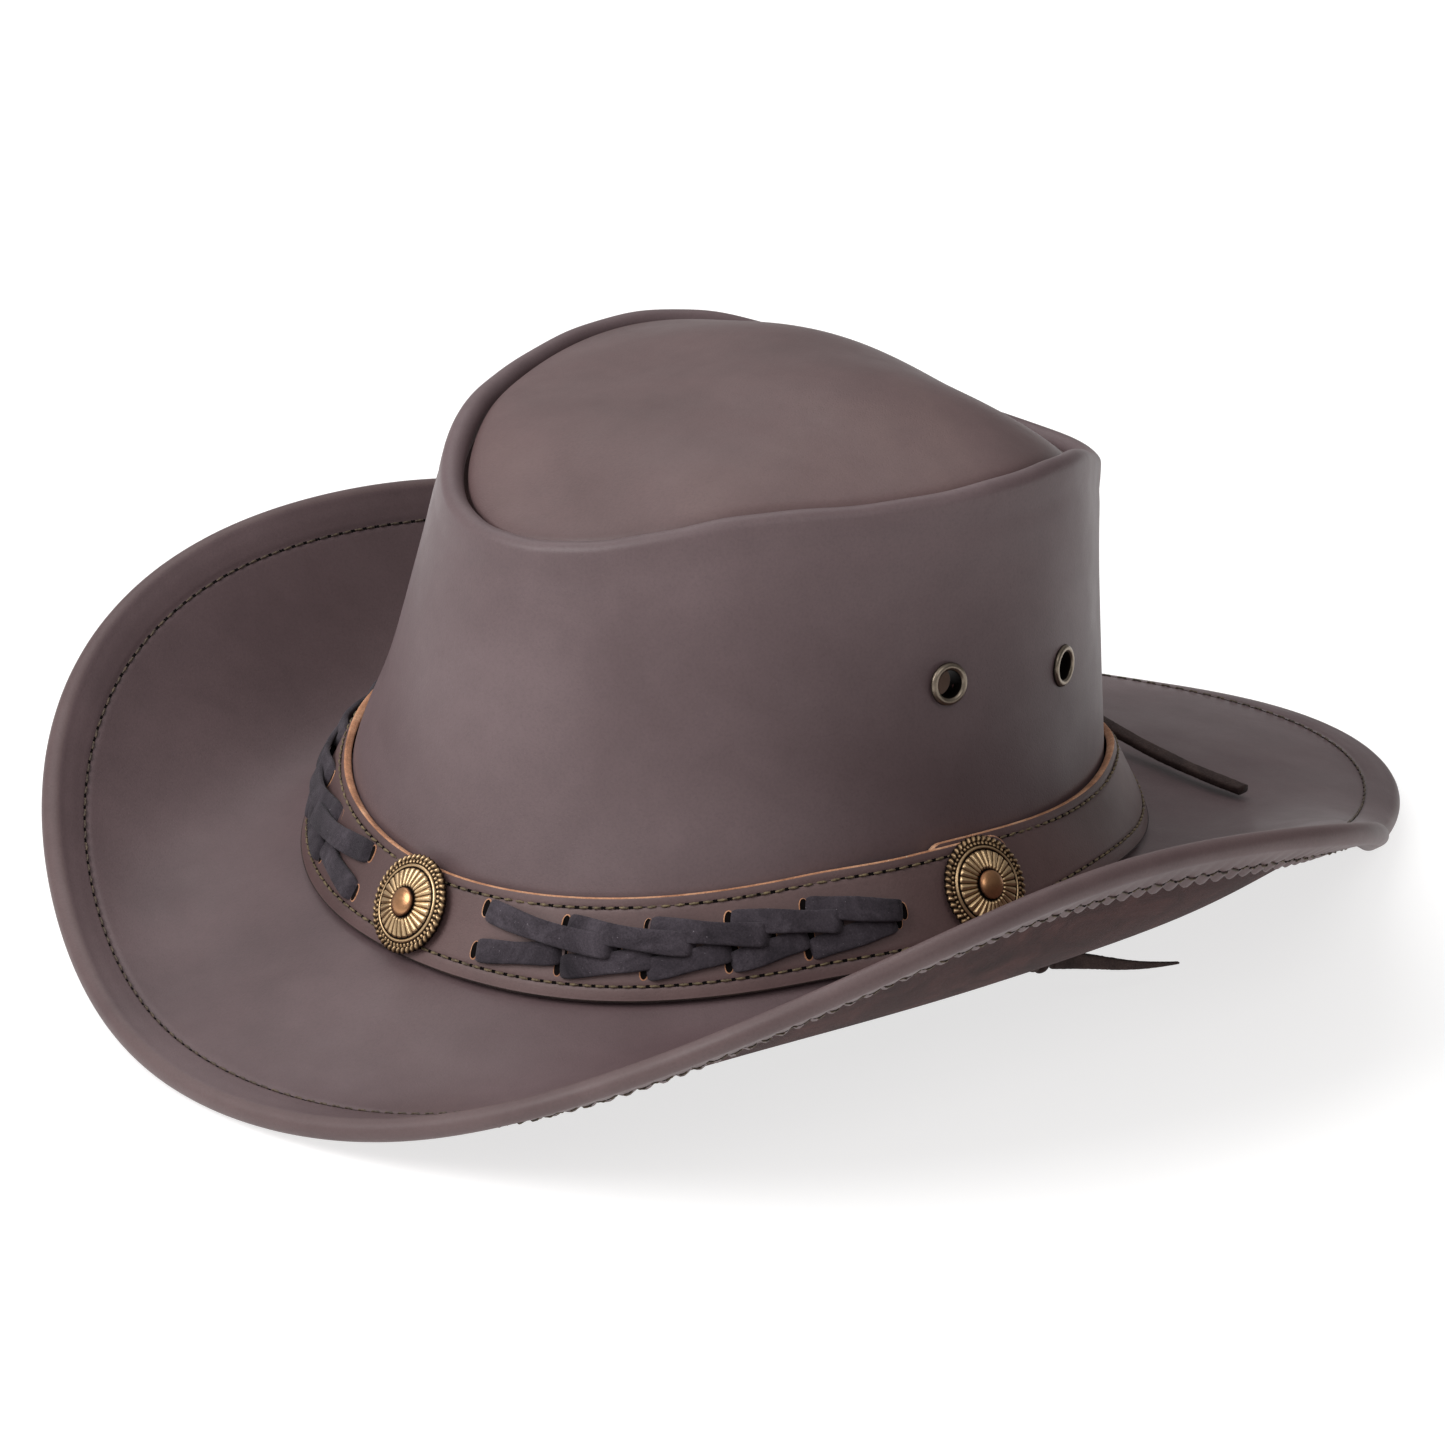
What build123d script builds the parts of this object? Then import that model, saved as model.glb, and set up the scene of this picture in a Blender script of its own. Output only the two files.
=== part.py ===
from build123d import *
from math import cos, pi, radians, sin, tan
import os

os.makedirs("parts", exist_ok=True)

# A leather western hat standing on its brim: +Z up, the front towards -Y, the wearer's left
# towards +X, the origin on the table under the middle of the brim. Millimetres.
#
# Every ring round the head is lofted through upright cross-sections. A ring angle runs from 0
# at the front over 90 at the wearer's left to 180 at the back. On each section plane, r points
# outwards from the head oval and z upwards from the mean foot of the hatband.

# ---- driving dimensions ----
HEAD_HALF_LENGTH = 96.0      # oval of the crown's outer face at its foot
HEAD_HALF_WIDTH = 88.0
HEAD_EGG = 0.14              # share by which the oval is wider towards the front
HEAD_SHIFT = -12.0           # the oval's centre along Y, which centres the brim
FOOT_ABOVE_TABLE = 28.3      # mean height of the hatband's foot

# Heights, reaches (mm) and slopes (degrees) every 30 degrees from the front to the back.
FOOT_HEIGHT = [-5.0, -3.5, 2.5, 5.0, 2.0, -4.5, -3.0]
BAND_TOP = [15.5, 19.0, 25.5, 26.0, 20.0, 15.0, 9.5]
BRIM_REACH = [58.5, 57.0, 59.5, 55.0, 62.5, 58.5, 84.0]
BRIM_HEIGHT = [-22.0, -6.5, 32.5, 40.5, 20.0, -13.0, -22.0]
ROOT_SLOPE = [-22.0, -22.0, -34.0, -29.0, -22.0, -14.0, -8.0]
EDGE_SLOPE = [-4.0, 33.0, 40.0, 58.0, 13.0, -32.0, -14.0]
CROWN_LEAN = [-18.0, -24.5, -27.0, -15.0, -2.0, -1.0, 9.0]
CROWN_RISE = [97.0, 102.0, 107.5, 107.5, 105.0, 88.5, 78.0]

LEATHER = 2.0                # brim, crown and hatband
GAP = 0.4                    # between layers that lie on each other
BAND_REACH = 11.5            # the hatband's foot outside the oval
BAND_TOP_REACH = 2.8
BRIM_UNDER_BAND = 2.0        # the brim's face below the hatband's outer foot
BRIM_INNER = -2.2            # the brim's inner edge
BRIM_INNER_RISE = 7.0
BRIM_INNER_SLOPE = -50.0
HEM_WIDTH = 9.5
HEM_GAP = 0.4
FOLD_INNER = 0.95            # radius inside the brim's folded edge
LIP_INNER = 1.0              # radius inside the crown's rolled upper edge
LIP_DEPTH = 4.0
PANEL_INSET = 7.0            # the crown top's edge inside the rim
PANEL_DROP = 1.2
PANEL_BULGE = 0.0024         # fall per square millimetre away from the ridge
PANEL_HALF_ARCH = 85.0
SWEATBAND_HEIGHT = 32.0
SWEATBAND_THICKNESS = 1.2
SWEATBAND_FOOT_GAP = 3.2      # clear of the brim's inner edge
TAPE_THICKNESS = 1.0
TAPE_HALF_ANGLE = 5.0
SEAM_WIDTH = 0.5             # butt seam at the back of the crown

LAP = 2.8                    # the front strap stands out over the rear straps' ends
LAP_START, LAP_END = 60.0, 76.0
FRONT_STRAP_END = 93.0
REAR_STRAP_START = 80.0
REAR_STRAP_END = 174.0
SIDE_CONCHO_ANGLE = 86.0
CONCHO_HEIGHT = 12.5         # up the strap from its foot
CONCHO_RADIUS = 12.2
POST_RADIUS = 1.5
POST_ROOM = 0.05             # running clearance of a concho on its post

LACE_WIDTH = 6.0
LACE_THICKNESS = 1.4
LACE_STARTS = [12.6, 25.4, 37.4, 48.8, 59.6]      # ring angles of the strips' first slots
UPPER_LACE_ENDS = [33.1, 44.1, 54.5, 64.7, 73.0]
LOWER_LACE_ENDS = [25.6, 39.0, 49.2, 59.8, 72.0]
SLOT_WIDTH = 1.8
SLOT_LENGTH = 6.6

EYELET_SEATS = [("front", 89.5, 62.0), ("rear", 114.5, 54.5)]
EYELET_BORE = 3.25
EYELET_BARREL = 4.0
EYELET_FLANGE = 5.2
EYELET_HOLE = 4.3

TIE_HOLE_RADIUS = 1.6
THONG_WIDTH = 4.2
THONG_THICKNESS = 2.0
BRIM_TAIL_WIDTH = 4.8


# ---- the ring frame ----
def around(values, angle):
    """A quantity at a ring angle: the even cosine series through its equally spaced values."""
    last = len(values) - 1
    total = 0.0
    for order in range(last + 1):
        weight = 0.0
        for index, value in enumerate(values):
            share = 0.5 if index in (0, last) else 1.0
            weight += share * value * cos(pi * index * order / last)
        share = 0.5 if order in (0, last) else 1.0
        total += share * 2 / last * weight * cos(order * radians(angle))
    return total


def oval_point(angle):
    turn = radians(angle)
    x = HEAD_HALF_WIDTH * sin(turn) * (1 + HEAD_EGG * cos(turn))
    return Vector(x, HEAD_SHIFT - HEAD_HALF_LENGTH * cos(turn), FOOT_ABOVE_TABLE)


def oval_normal(angle):
    turn = radians(angle)
    along_x = HEAD_HALF_WIDTH * (cos(turn) + HEAD_EGG * cos(2 * turn))
    along_y = HEAD_HALF_LENGTH * sin(turn)
    return Vector(along_y, -along_x, 0).normalized()


def section_plane(angle):
    outward = oval_normal(angle)
    return Plane(oval_point(angle), x_dir=outward, z_dir=outward.cross(Vector(0, 0, 1)))


def space_point(angle, r, z):
    return oval_point(angle) + oval_normal(angle) * r + Vector(0, 0, z)


def slope_vector(slope):
    return Vector(cos(radians(slope)), sin(radians(slope)))


def left_normal(direction):
    return Vector(-direction.Y, direction.X)


def smooth_step(value, start, end):
    share = min(max((value - start) / (end - start), 0.0), 1.0)
    return share * share * (3 - 2 * share)


# ---- profiles shared by several pieces, all as (r, z) on a section plane ----
def wall_foot(angle):
    return around(FOOT_HEIGHT, angle) + BRIM_INNER_RISE + GAP


def wall_r(angle, z):
    foot = wall_foot(angle)
    return around(CROWN_LEAN, angle) * (z - foot) / (around(CROWN_RISE, angle) - foot)


def strap_line(angle, lap):
    """Outer foot, upward direction and length of the hatband's section."""
    foot = Vector(BAND_REACH + lap, around(FOOT_HEIGHT, angle))
    top = Vector(BAND_TOP_REACH + 0.1 * around(CROWN_LEAN, angle) + lap, around(BAND_TOP, angle))
    return foot, (top - foot).normalized(), (top - foot).length


def front_lap(angle):
    return LAP * smooth_step(abs(angle), LAP_START, LAP_END)


def front_face(angle, height, proud=0.0):
    foot, up, _ = strap_line(angle, front_lap(angle))
    spot = foot + up * height - left_normal(up) * proud
    return space_point(angle, spot.X, spot.Y)


def rear_face(angle, height, proud=0.0):
    foot, up, _ = strap_line(angle, 0.0)
    spot = foot + up * height - left_normal(up) * proud
    return space_point(angle, spot.X, spot.Y)


def wall_face(angle, height, proud=0.0):
    return space_point(angle, wall_r(angle, height) + proud, height)


def seat_plane(face, angle, height):
    """Plane lying on a face: x along the ring, y up the face, z outwards."""
    across = face(angle + 1, height) - face(angle - 1, height)
    up = face(angle, height + 1) - face(angle, height - 1)
    return Plane(face(angle, height), x_dir=across, z_dir=across.cross(up))


def profile_plane(seat):
    """Plane through a seat's axis: x is the radius, y runs outwards along the axis."""
    return Plane(seat.origin, x_dir=seat.x_dir, z_dir=-seat.y_dir)


# ---- section outlines ----
def brim_end(angle):
    return Vector(BAND_REACH + around(BRIM_REACH, angle), around(BRIM_HEIGHT, angle))


def fold_over(start, end, way):
    """Round fold between two points of a section, leaving the first along the given way."""
    reach = way * ((end - start).length * 2 / 3)
    Bezier(start, start + reach, end + reach, end)


def hem_end(start, start_handle, end_handle, end):
    """Point and direction of the brim's face above the hem's free end."""
    share = 1 - HEM_WIDTH / (end - start).length
    rest = 1 - share
    spot = (start * rest ** 3 + start_handle * 3 * rest ** 2 * share
            + end_handle * 3 * rest * share ** 2 + end * share ** 3)
    way = ((start_handle - start) * rest ** 2 + (end_handle - start_handle) * 2 * rest * share
           + (end - end_handle) * share ** 2)
    return spot, way.normalized()


def brim_outline(angle):
    """Leather sheet from the crown's foot to the edge, folded under as a hem."""
    inner = Vector(BRIM_INNER, around(FOOT_HEIGHT, angle) + BRIM_INNER_RISE)
    root = Vector(BAND_REACH, around(FOOT_HEIGHT, angle) - BRIM_UNDER_BAND)
    end = brim_end(angle)
    inner_way = slope_vector(BRIM_INNER_SLOPE)
    root_way = slope_vector(around(ROOT_SLOPE, angle))
    end_way = slope_vector(around(EDGE_SLOPE, angle))
    near = (root - inner).length / 3
    far = (end - root).length / 3
    under = [point - left_normal(way) * LEATHER
             for point, way in ((inner, inner_way), (root, root_way), (end, end_way))]
    down = -left_normal(end_way)
    fold_inside = end + down * (LEATHER + 2 * FOLD_INNER)
    fold_outside = end + down * (2 * LEATHER + 2 * FOLD_INNER)
    hem_spot, hem_way = hem_end(root, root + root_way * far, end - end_way * far, end)
    hem_upper = hem_spot - left_normal(hem_way) * (LEATHER + HEM_GAP)
    hem_lower = hem_upper - left_normal(hem_way) * LEATHER
    Bezier(inner, inner + inner_way * near, root - root_way * near, root)
    Bezier(root, root + root_way * far, end - end_way * far, end)
    fold_over(end, fold_outside, end_way)
    Line(fold_outside, hem_lower)
    Line(hem_lower, hem_upper)
    Line(hem_upper, fold_inside)
    fold_over(fold_inside, under[2], end_way)
    Bezier(under[2], under[2] - end_way * far, under[1] + root_way * far, under[1])
    Bezier(under[1], under[1] - root_way * near, under[0] + inner_way * near, under[0])
    Line(under[0], inner)


def crown_side_outline(angle):
    """Wall with its upper edge rolled inwards into a lip."""
    lip_outer = LIP_INNER + LEATHER
    rim_height = around(CROWN_RISE, angle) - lip_outer
    foot = Vector(0, wall_foot(angle))
    rim = Vector(wall_r(angle, rim_height), rim_height)
    up = (rim - foot).normalized()
    inward = left_normal(up)
    far_side = rim + inward * 2 * lip_outer
    near_side = far_side - inward * LEATHER
    wall_inside = rim + inward * LEATHER
    Line(foot, rim)
    fold_over(rim, far_side, up)
    Line(far_side, far_side - up * LIP_DEPTH)
    Line(far_side - up * LIP_DEPTH, near_side - up * LIP_DEPTH)
    Line(near_side - up * LIP_DEPTH, near_side)
    fold_over(near_side, wall_inside, up)
    Line(wall_inside, foot + inward * LEATHER)
    Line(foot + inward * LEATHER, foot)


def strap_outline(angle, lap):
    foot, up, length = strap_line(angle, lap)
    inward = left_normal(up) * LEATHER
    Polyline(foot, foot + up * length, foot + up * length + inward, foot + inward, close=True)


def front_strap_outline(angle):
    strap_outline(angle, front_lap(angle))


def rear_strap_outline(angle):
    strap_outline(angle, 0.0)


def lining_outline(angle, bottom, bottom_gap, top, top_gap, thickness):
    """A strip down the inside of the crown's wall, at a gap from it."""
    foot = Vector(wall_r(angle, bottom) - LEATHER - bottom_gap, bottom)
    head = Vector(wall_r(angle, top) - LEATHER - top_gap, top)
    inward = Vector(-thickness, 0)
    Polyline(foot, head, head + inward, foot + inward, close=True)


def sweatband_outline(angle):
    bottom = around(FOOT_HEIGHT, angle) + 1.0
    top = bottom + SWEATBAND_HEIGHT
    lining_outline(angle, bottom, SWEATBAND_FOOT_GAP, top, 2 * GAP, SWEATBAND_THICKNESS)


def tape_outline(angle):
    bottom = around(FOOT_HEIGHT, angle) + SWEATBAND_HEIGHT + 4
    top = around(CROWN_RISE, angle) - 8
    lining_outline(angle, bottom, GAP, top, GAP, TAPE_THICKNESS)


def ring(outline, angles, whole=True):
    """A piece lofted through its outlines; a whole ring is one half mirrored."""
    sections = []
    for angle in angles:
        with BuildSketch(section_plane(angle)) as section:
            with BuildLine():
                outline(angle)
            make_face()
        sections.append(section.sketch)
    with BuildPart() as piece:
        loft(sections=sections)
        if whole:
            split(bisect_by=Plane.YZ)
            mirror(about=Plane.YZ)
    return piece.part


HALF_RING = range(-15, 196, 15)


# ---- brim, crown and lining ----
brim = ring(brim_outline, HALF_RING)
crown_wall = ring(crown_side_outline, HALF_RING)
with BuildPart() as crown_side:
    add(crown_wall)
    with Locations((0, HEAD_SHIFT + HEAD_HALF_LENGTH, FOOT_ABOVE_TABLE + 50)):
        Box(SEAM_WIDTH, 60, 140, mode=Mode.SUBTRACT)
    for side in (1, -1):
        for _, angle, height in EYELET_SEATS:
            with BuildSketch(seat_plane(wall_face, side * angle, height)):
                Circle(EYELET_HOLE)
            extrude(amount=6, both=True, mode=Mode.SUBTRACT)

with BuildPart() as crown_top:
    panel = []
    for angle in range(0, 181, 15):
        rim = space_point(angle, around(CROWN_LEAN, angle) - PANEL_INSET, around(CROWN_RISE, angle))
        panel.append(rim - Vector(0, 0, PANEL_DROP))
    front_margin = [(panel[0].Y - 8, panel[0].Z)]
    back_margin = [(panel[-1].Y + 8, panel[-1].Z - 4)]
    ridge = [(point.Y, point.Z + PANEL_BULGE * point.X ** 2) for point in panel[::2]]
    drop = PANEL_BULGE * PANEL_HALF_ARCH ** 2
    for y, z in front_margin + ridge + back_margin:
        with BuildSketch(Plane.XZ.offset(-y)):
            with BuildLine():
                ends = [(-PANEL_HALF_ARCH, z - drop), (PANEL_HALF_ARCH, z - drop)]
                Bezier(ends[0], (0, z + drop), ends[1])
                Line(ends[1], (ends[1][0], ends[1][1] - LEATHER))
                Bezier((ends[1][0], ends[1][1] - LEATHER), (0, z + drop - LEATHER),
                       (ends[0][0], ends[0][1] - LEATHER))
                Line((ends[0][0], ends[0][1] - LEATHER), ends[0])
            make_face()
    loft()
    with BuildSketch(Plane.XY):
        with BuildLine():
            left_side = [(point.X, point.Y) for point in panel]
            right_side = [(-point.X, point.Y) for point in reversed(panel[1:-1])]
            Spline(*left_side, *right_side, periodic=True)
        make_face()
    extrude(amount=200, mode=Mode.INTERSECT)

sweatband = ring(sweatband_outline, HALF_RING)
tape_angles = (180 - TAPE_HALF_ANGLE, 180, 180 + TAPE_HALF_ANGLE)
crown_seam_tape = ring(tape_outline, tape_angles, whole=False)


# ---- hatband ----
def lace_slots(side):
    """First and second slot of each strip, as (row, angle, height up the strap)."""
    slots = []
    for start, upper_end, lower_end in zip(LACE_STARTS, UPPER_LACE_ENDS, LOWER_LACE_ENDS):
        slots.append(("upper", side * start, 18.0, side * upper_end, 12.8))
        slots.append(("lower", side * start, 7.6, side * lower_end, 11.0))
    return slots


def angles_between(start, end, step):
    count = max(2, round((end - start) / step))
    return [start + (end - start) * index / count for index in range(count + 1)]


front_blank = ring(front_strap_outline, angles_between(-10, FRONT_STRAP_END, 5))
with BuildPart() as hatband_front:
    add(front_blank)
    for angle in (-SIDE_CONCHO_ANGLE, 0, SIDE_CONCHO_ANGLE):
        with BuildSketch(seat_plane(front_face, angle, CONCHO_HEIGHT)):
            Circle(POST_RADIUS + 0.1)
        extrude(amount=5, both=True, mode=Mode.SUBTRACT)
    for side in (1, -1):
        for _, first_angle, first_height, last_angle, last_height in lace_slots(side):
            for angle, height in ((first_angle, first_height), (last_angle, last_height)):
                with BuildSketch(seat_plane(front_face, angle, height)):
                    Rectangle(SLOT_WIDTH, SLOT_LENGTH)
                extrude(amount=4, both=True, mode=Mode.SUBTRACT)

rear_straps = {}
for side_name, side in (("left", 1), ("right", -1)):
    ends = sorted((side * REAR_STRAP_START, side * REAR_STRAP_END))
    rear_blank = ring(rear_strap_outline, angles_between(*ends, 8), whole=False)
    with BuildPart() as rear_strap:
        add(rear_blank)
        with BuildSketch(seat_plane(front_face, side * SIDE_CONCHO_ANGLE, CONCHO_HEIGHT)):
            Circle(POST_RADIUS + 0.1)
        extrude(amount=8, both=True, mode=Mode.SUBTRACT)
        with BuildSketch(seat_plane(rear_face, side * (REAR_STRAP_END - 4), 6.0)):
            Circle(TIE_HOLE_RADIUS)
        extrude(amount=5, both=True, mode=Mode.SUBTRACT)
    rear_straps[side_name] = rear_strap.part


# ---- lacing ----
def lace_path(first_angle, first_height, last_angle, last_height, start_lift, end_lift):
    """Points of a strip's middle, from its first slot over the strap to its second."""
    steps = 4
    points = []
    for index in range(steps + 1):
        share = index / steps
        angle = first_angle + (last_angle - first_angle) * share
        height = first_height + (last_height - first_height) * share
        lift = start_lift + (end_lift - start_lift) * smooth_step(share, 0.05, 0.5)
        points.append((angle, height, lift))
    return points


def lace_strip(path):
    spots = [front_face(*point) for point in path]
    with BuildPart() as strip:
        for index, (angle, height, _) in enumerate(path):
            before = spots[max(index - 1, 0)]
            after = spots[min(index + 1, len(spots) - 1)]
            outward = seat_plane(front_face, angle, height).z_dir
            along = (after - before).normalized()
            with BuildSketch(Plane(spots[index], x_dir=outward.cross(along), z_dir=along)):
                Rectangle(LACE_WIDTH, LACE_THICKNESS)
        loft()
    return strip.part


laces = {}
for side_name, side in (("left", 1), ("right", -1)):
    for row, start_lift, end_lift in (("upper", 1.15, 3.1), ("lower", 1.1, 1.1)):
        strips = [lace_strip(lace_path(*strip, start_lift, end_lift))
                  for name, *strip in lace_slots(side) if name == row]
        laces[f"lace_{row}_{side_name}"] = Compound(children=strips)


# ---- conchos ----
def turned(seat, points):
    """A piece turned about a seat's axis from its (radius, height) profile."""
    with BuildPart() as piece:
        with BuildSketch(profile_plane(seat)):
            with BuildLine():
                Polyline(*points, close=True)
            make_face()
        revolve(axis=Axis(seat.origin, seat.z_dir))
    return piece.part


def concho_disc_profile():
    bore = POST_RADIUS + POST_ROOM
    rim = CONCHO_RADIUS
    return [(bore, 0.7), (rim - 0.4, 0.7), (rim, 1.3), (rim - 0.7, 2.1), (rim - 1.9, 1.9),
            (rim - 2.9, 2.5), (rim - 4.2, 2.8), (6.0, 3.3), (4.6, 3.6), (bore, 3.8)]


def concho_button_profile(depth):
    """Domed head, post through disc and straps, and the peened end behind the washer."""
    return [(0, -depth), (2.4, -depth), (2.4, 0.5 - depth), (POST_RADIUS, 0.5 - depth),
            (POST_RADIUS, 3.9), (3.6, 3.9), (3.5, 4.4), (2.7, 4.9), (1.4, 5.25), (0, 5.35)]


def washer_profile(depth):
    return [(POST_RADIUS + 0.1, 0.6 - depth), (4.5, 0.6 - depth),
            (4.5, 1.3 - depth), (POST_RADIUS + 0.1, 1.3 - depth)]


conchos = {}
concho_seats = {
    "front": (0.0, 3.9),
    "left": (SIDE_CONCHO_ANGLE, 6.6),
    "right": (-SIDE_CONCHO_ANGLE, 6.6),
}
for place, (angle, depth) in concho_seats.items():
    seat = seat_plane(front_face, angle, CONCHO_HEIGHT)
    conchos[f"concho_disc_{place}"] = turned(seat, concho_disc_profile())
    conchos[f"concho_button_{place}"] = turned(seat, concho_button_profile(depth))
    conchos[f"concho_washer_{place}"] = turned(seat, washer_profile(depth))
    print(f"concho {place} at", seat.origin, "axis", seat.z_dir)


# ---- eyelets ----
def eyelet_profile():
    return [(EYELET_BORE, -4.4), (4.9, -4.4), (4.9, -3.9), (EYELET_BARREL, -3.8),
            (EYELET_BARREL, 0.3), (EYELET_FLANGE, 0.3), (EYELET_FLANGE - 0.2, 1.0),
            (4.4, 1.5), (3.6, 1.3), (EYELET_BORE, 0.8)]


eyelets = {}
for side_name, side in (("left", 1), ("right", -1)):
    for place, angle, height in EYELET_SEATS:
        seat = seat_plane(wall_face, side * angle, height)
        washer = [(4.1, -3.7), (6.2, -3.7), (6.2, -3.1), (4.1, -3.1)]
        eyelets[f"eyelet_{side_name}_{place}"] = turned(seat, eyelet_profile())
        eyelets[f"eyelet_washer_{side_name}_{place}"] = turned(seat, washer)
        print(f"eyelet {side_name} {place} at", seat.origin, "axis", seat.z_dir)


# ---- thongs ----
def thong(name, route, width, thickness):
    """A flat thong along straight runs joined by the largest tangent arcs that fit."""
    points = [Vector(*point) for point in route]
    runs = [after - before for before, after in zip(points, points[1:])]
    radii = []
    for before, after in zip(runs, runs[1:]):
        turn = before.get_angle(after)
        radii.append(0.45 * min(before.length, after.length) / tan(radians(turn / 2)))
    with BuildPart() as strip:
        with BuildLine() as line:
            FilletPolyline(*points, radius=radii)
        start = Plane(points[0], x_dir=runs[0].cross(Vector(0, 0, 1)), z_dir=runs[0])
        with BuildSketch(start):
            Rectangle(width, thickness)
        sweep()
    length = line.wires()[0].length
    expected = length * width * thickness
    print(name, "length", round(length, 1), "radii", [round(radius, 1) for radius in radii],
          "volume share", round(strip.part.volume / expected, 3))
    return strip.part


TIE_KNOT_CENTRE = (0.0, 95.0, 32.0)
tie_tail_left_route = [(5, 98, 30), (14, 101.5, 26.5), (25, 104, 24), (37, 106, 22.5), (50, 108.5, 21.5)]
tie_tail_right_route = [(-x, y, z) for x, y, z in tie_tail_left_route]
BRIM_KNOT_CENTRE = (98.0, -1.0, 21.0)
brim_tail_route = [(98.5, 4, 20), (99.0, 14, 17.0), (99.0, 25, 13.0), (98.0, 36, 9.5), (96.5, 46, 7.0)]

with BuildPart() as tie_knot:
    with Locations(TIE_KNOT_CENTRE):
        Sphere(4.5)

with BuildPart() as brim_thong_knot:
    with Locations(BRIM_KNOT_CENTRE):
        Sphere(4.2)

thongs = {
    "brim_thong_tail": thong("brim_thong_tail", brim_tail_route, THONG_THICKNESS, BRIM_TAIL_WIDTH),
    "tie_tail_left": thong("tie_tail_left", tie_tail_left_route, THONG_WIDTH, THONG_THICKNESS),
    "tie_tail_right": thong("tie_tail_right", tie_tail_right_route, THONG_WIDTH, THONG_THICKNESS),
}

# ---- write every piece ----
pieces = {
    "brim": brim,
    "crown_side": crown_side.part,
    "crown_top": crown_top.part,
    "crown_seam_tape": crown_seam_tape,
    "sweatband": sweatband,
    "hatband_front": hatband_front.part,
    "hatband_rear_left": rear_straps["left"],
    "hatband_rear_right": rear_straps["right"],
    "tie_knot": tie_knot.part,
    "brim_thong_knot": brim_thong_knot.part,
    **laces,
    **conchos,
    **eyelets,
    **thongs,
}
for name, piece in pieces.items():
    piece.label = name
    export_step(piece, f"parts/{name}.step")
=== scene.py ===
from math import cos, radians, sin

import bpy
import numpy as np
from mathutils import Matrix, Vector


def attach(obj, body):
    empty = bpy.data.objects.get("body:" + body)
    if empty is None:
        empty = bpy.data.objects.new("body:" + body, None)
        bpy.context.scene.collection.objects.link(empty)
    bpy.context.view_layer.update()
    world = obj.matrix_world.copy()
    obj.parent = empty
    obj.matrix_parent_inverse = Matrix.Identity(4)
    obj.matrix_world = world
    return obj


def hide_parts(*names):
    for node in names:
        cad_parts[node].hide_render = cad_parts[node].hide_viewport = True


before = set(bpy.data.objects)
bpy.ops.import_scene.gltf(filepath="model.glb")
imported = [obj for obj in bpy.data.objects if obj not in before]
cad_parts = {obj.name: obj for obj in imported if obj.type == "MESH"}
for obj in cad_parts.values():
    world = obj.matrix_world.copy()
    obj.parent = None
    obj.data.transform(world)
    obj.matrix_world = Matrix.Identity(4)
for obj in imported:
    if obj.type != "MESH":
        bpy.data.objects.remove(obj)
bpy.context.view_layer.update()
RANDOM = np.random.default_rng(7)
ROOT = "hat"
MM = 0.001

# ---- the hat's driving dimensions in millimetres, as in the solids ----
HEAD_HALF_LENGTH, HEAD_HALF_WIDTH = 96.0, 88.0
HEAD_EGG, HEAD_SHIFT, FOOT_ABOVE_TABLE = 0.14, -12.0, 28.3
FOOT_HEIGHT = [-5.0, -3.5, 2.5, 5.0, 2.0, -4.5, -3.0]
BAND_TOP = [15.5, 19.0, 25.5, 26.0, 20.0, 15.0, 9.5]
BRIM_REACH = [58.5, 57.0, 59.5, 55.0, 62.5, 58.5, 84.0]
BRIM_HEIGHT = [-22.0, -6.5, 32.5, 40.5, 20.0, -13.0, -22.0]
ROOT_SLOPE = [-22.0, -22.0, -34.0, -29.0, -22.0, -14.0, -8.0]
EDGE_SLOPE = [-4.0, 33.0, 40.0, 58.0, 13.0, -32.0, -14.0]
CROWN_LEAN = [-18.0, -24.5, -27.0, -15.0, -2.0, -1.0, 9.0]
CROWN_RISE = [97.0, 102.0, 107.5, 107.5, 105.0, 88.5, 78.0]
LEATHER, FOLD_INNER, HEM_WIDTH, HEM_GAP = 2.0, 0.95, 9.5, 0.4
BAND_REACH, BAND_TOP_REACH, BRIM_UNDER_BAND = 11.5, 2.8, 2.0
BRIM_INNER, BRIM_INNER_RISE, BRIM_INNER_SLOPE, GAP = -2.2, 7.0, -50.0, 0.4
LIP_INNER, LIP_DEPTH = 1.0, 4.0
PANEL_INSET, PANEL_DROP, PANEL_BULGE = 7.0, 1.2, 0.0024
LAP, LAP_START, LAP_END = 2.8, 60.0, 76.0
FRONT_STRAP_END, REAR_STRAP_START, REAR_STRAP_END = 93.0, 80.0, 174.0
SIDE_CONCHO_ANGLE, CONCHO_HEIGHT, CONCHO_RADIUS = 86.0, 12.5, 12.2
LACE_STARTS = [12.6, 25.4, 37.4, 48.8, 59.6]
UPPER_LACE_ENDS = [33.1, 44.1, 54.5, 64.7, 73.0]
LOWER_LACE_ENDS = [25.6, 39.0, 49.2, 59.8, 72.0]
EYELET_SEATS = [("front", 89.5, 62.0), ("rear", 114.5, 54.5)]
THONG_WIDTH, THONG_THICKNESS, BRIM_TAIL_WIDTH = 4.2, 2.0, 4.8
TIE_KNOT_CENTRE, BRIM_KNOT_CENTRE = (0.0, 95.0, 32.0), (98.0, -1.0, 21.0)
TIE_LEFT = [(5, 98, 30), (14, 101.5, 26.5), (25, 104, 24), (37, 106, 22.5), (50, 108.5, 21.5)]
BRIM_TAIL = [(98.5, 4, 20), (99.0, 14, 17.0), (99.0, 25, 13.0), (98.0, 36, 9.5), (96.5, 46, 7.0)]

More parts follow.
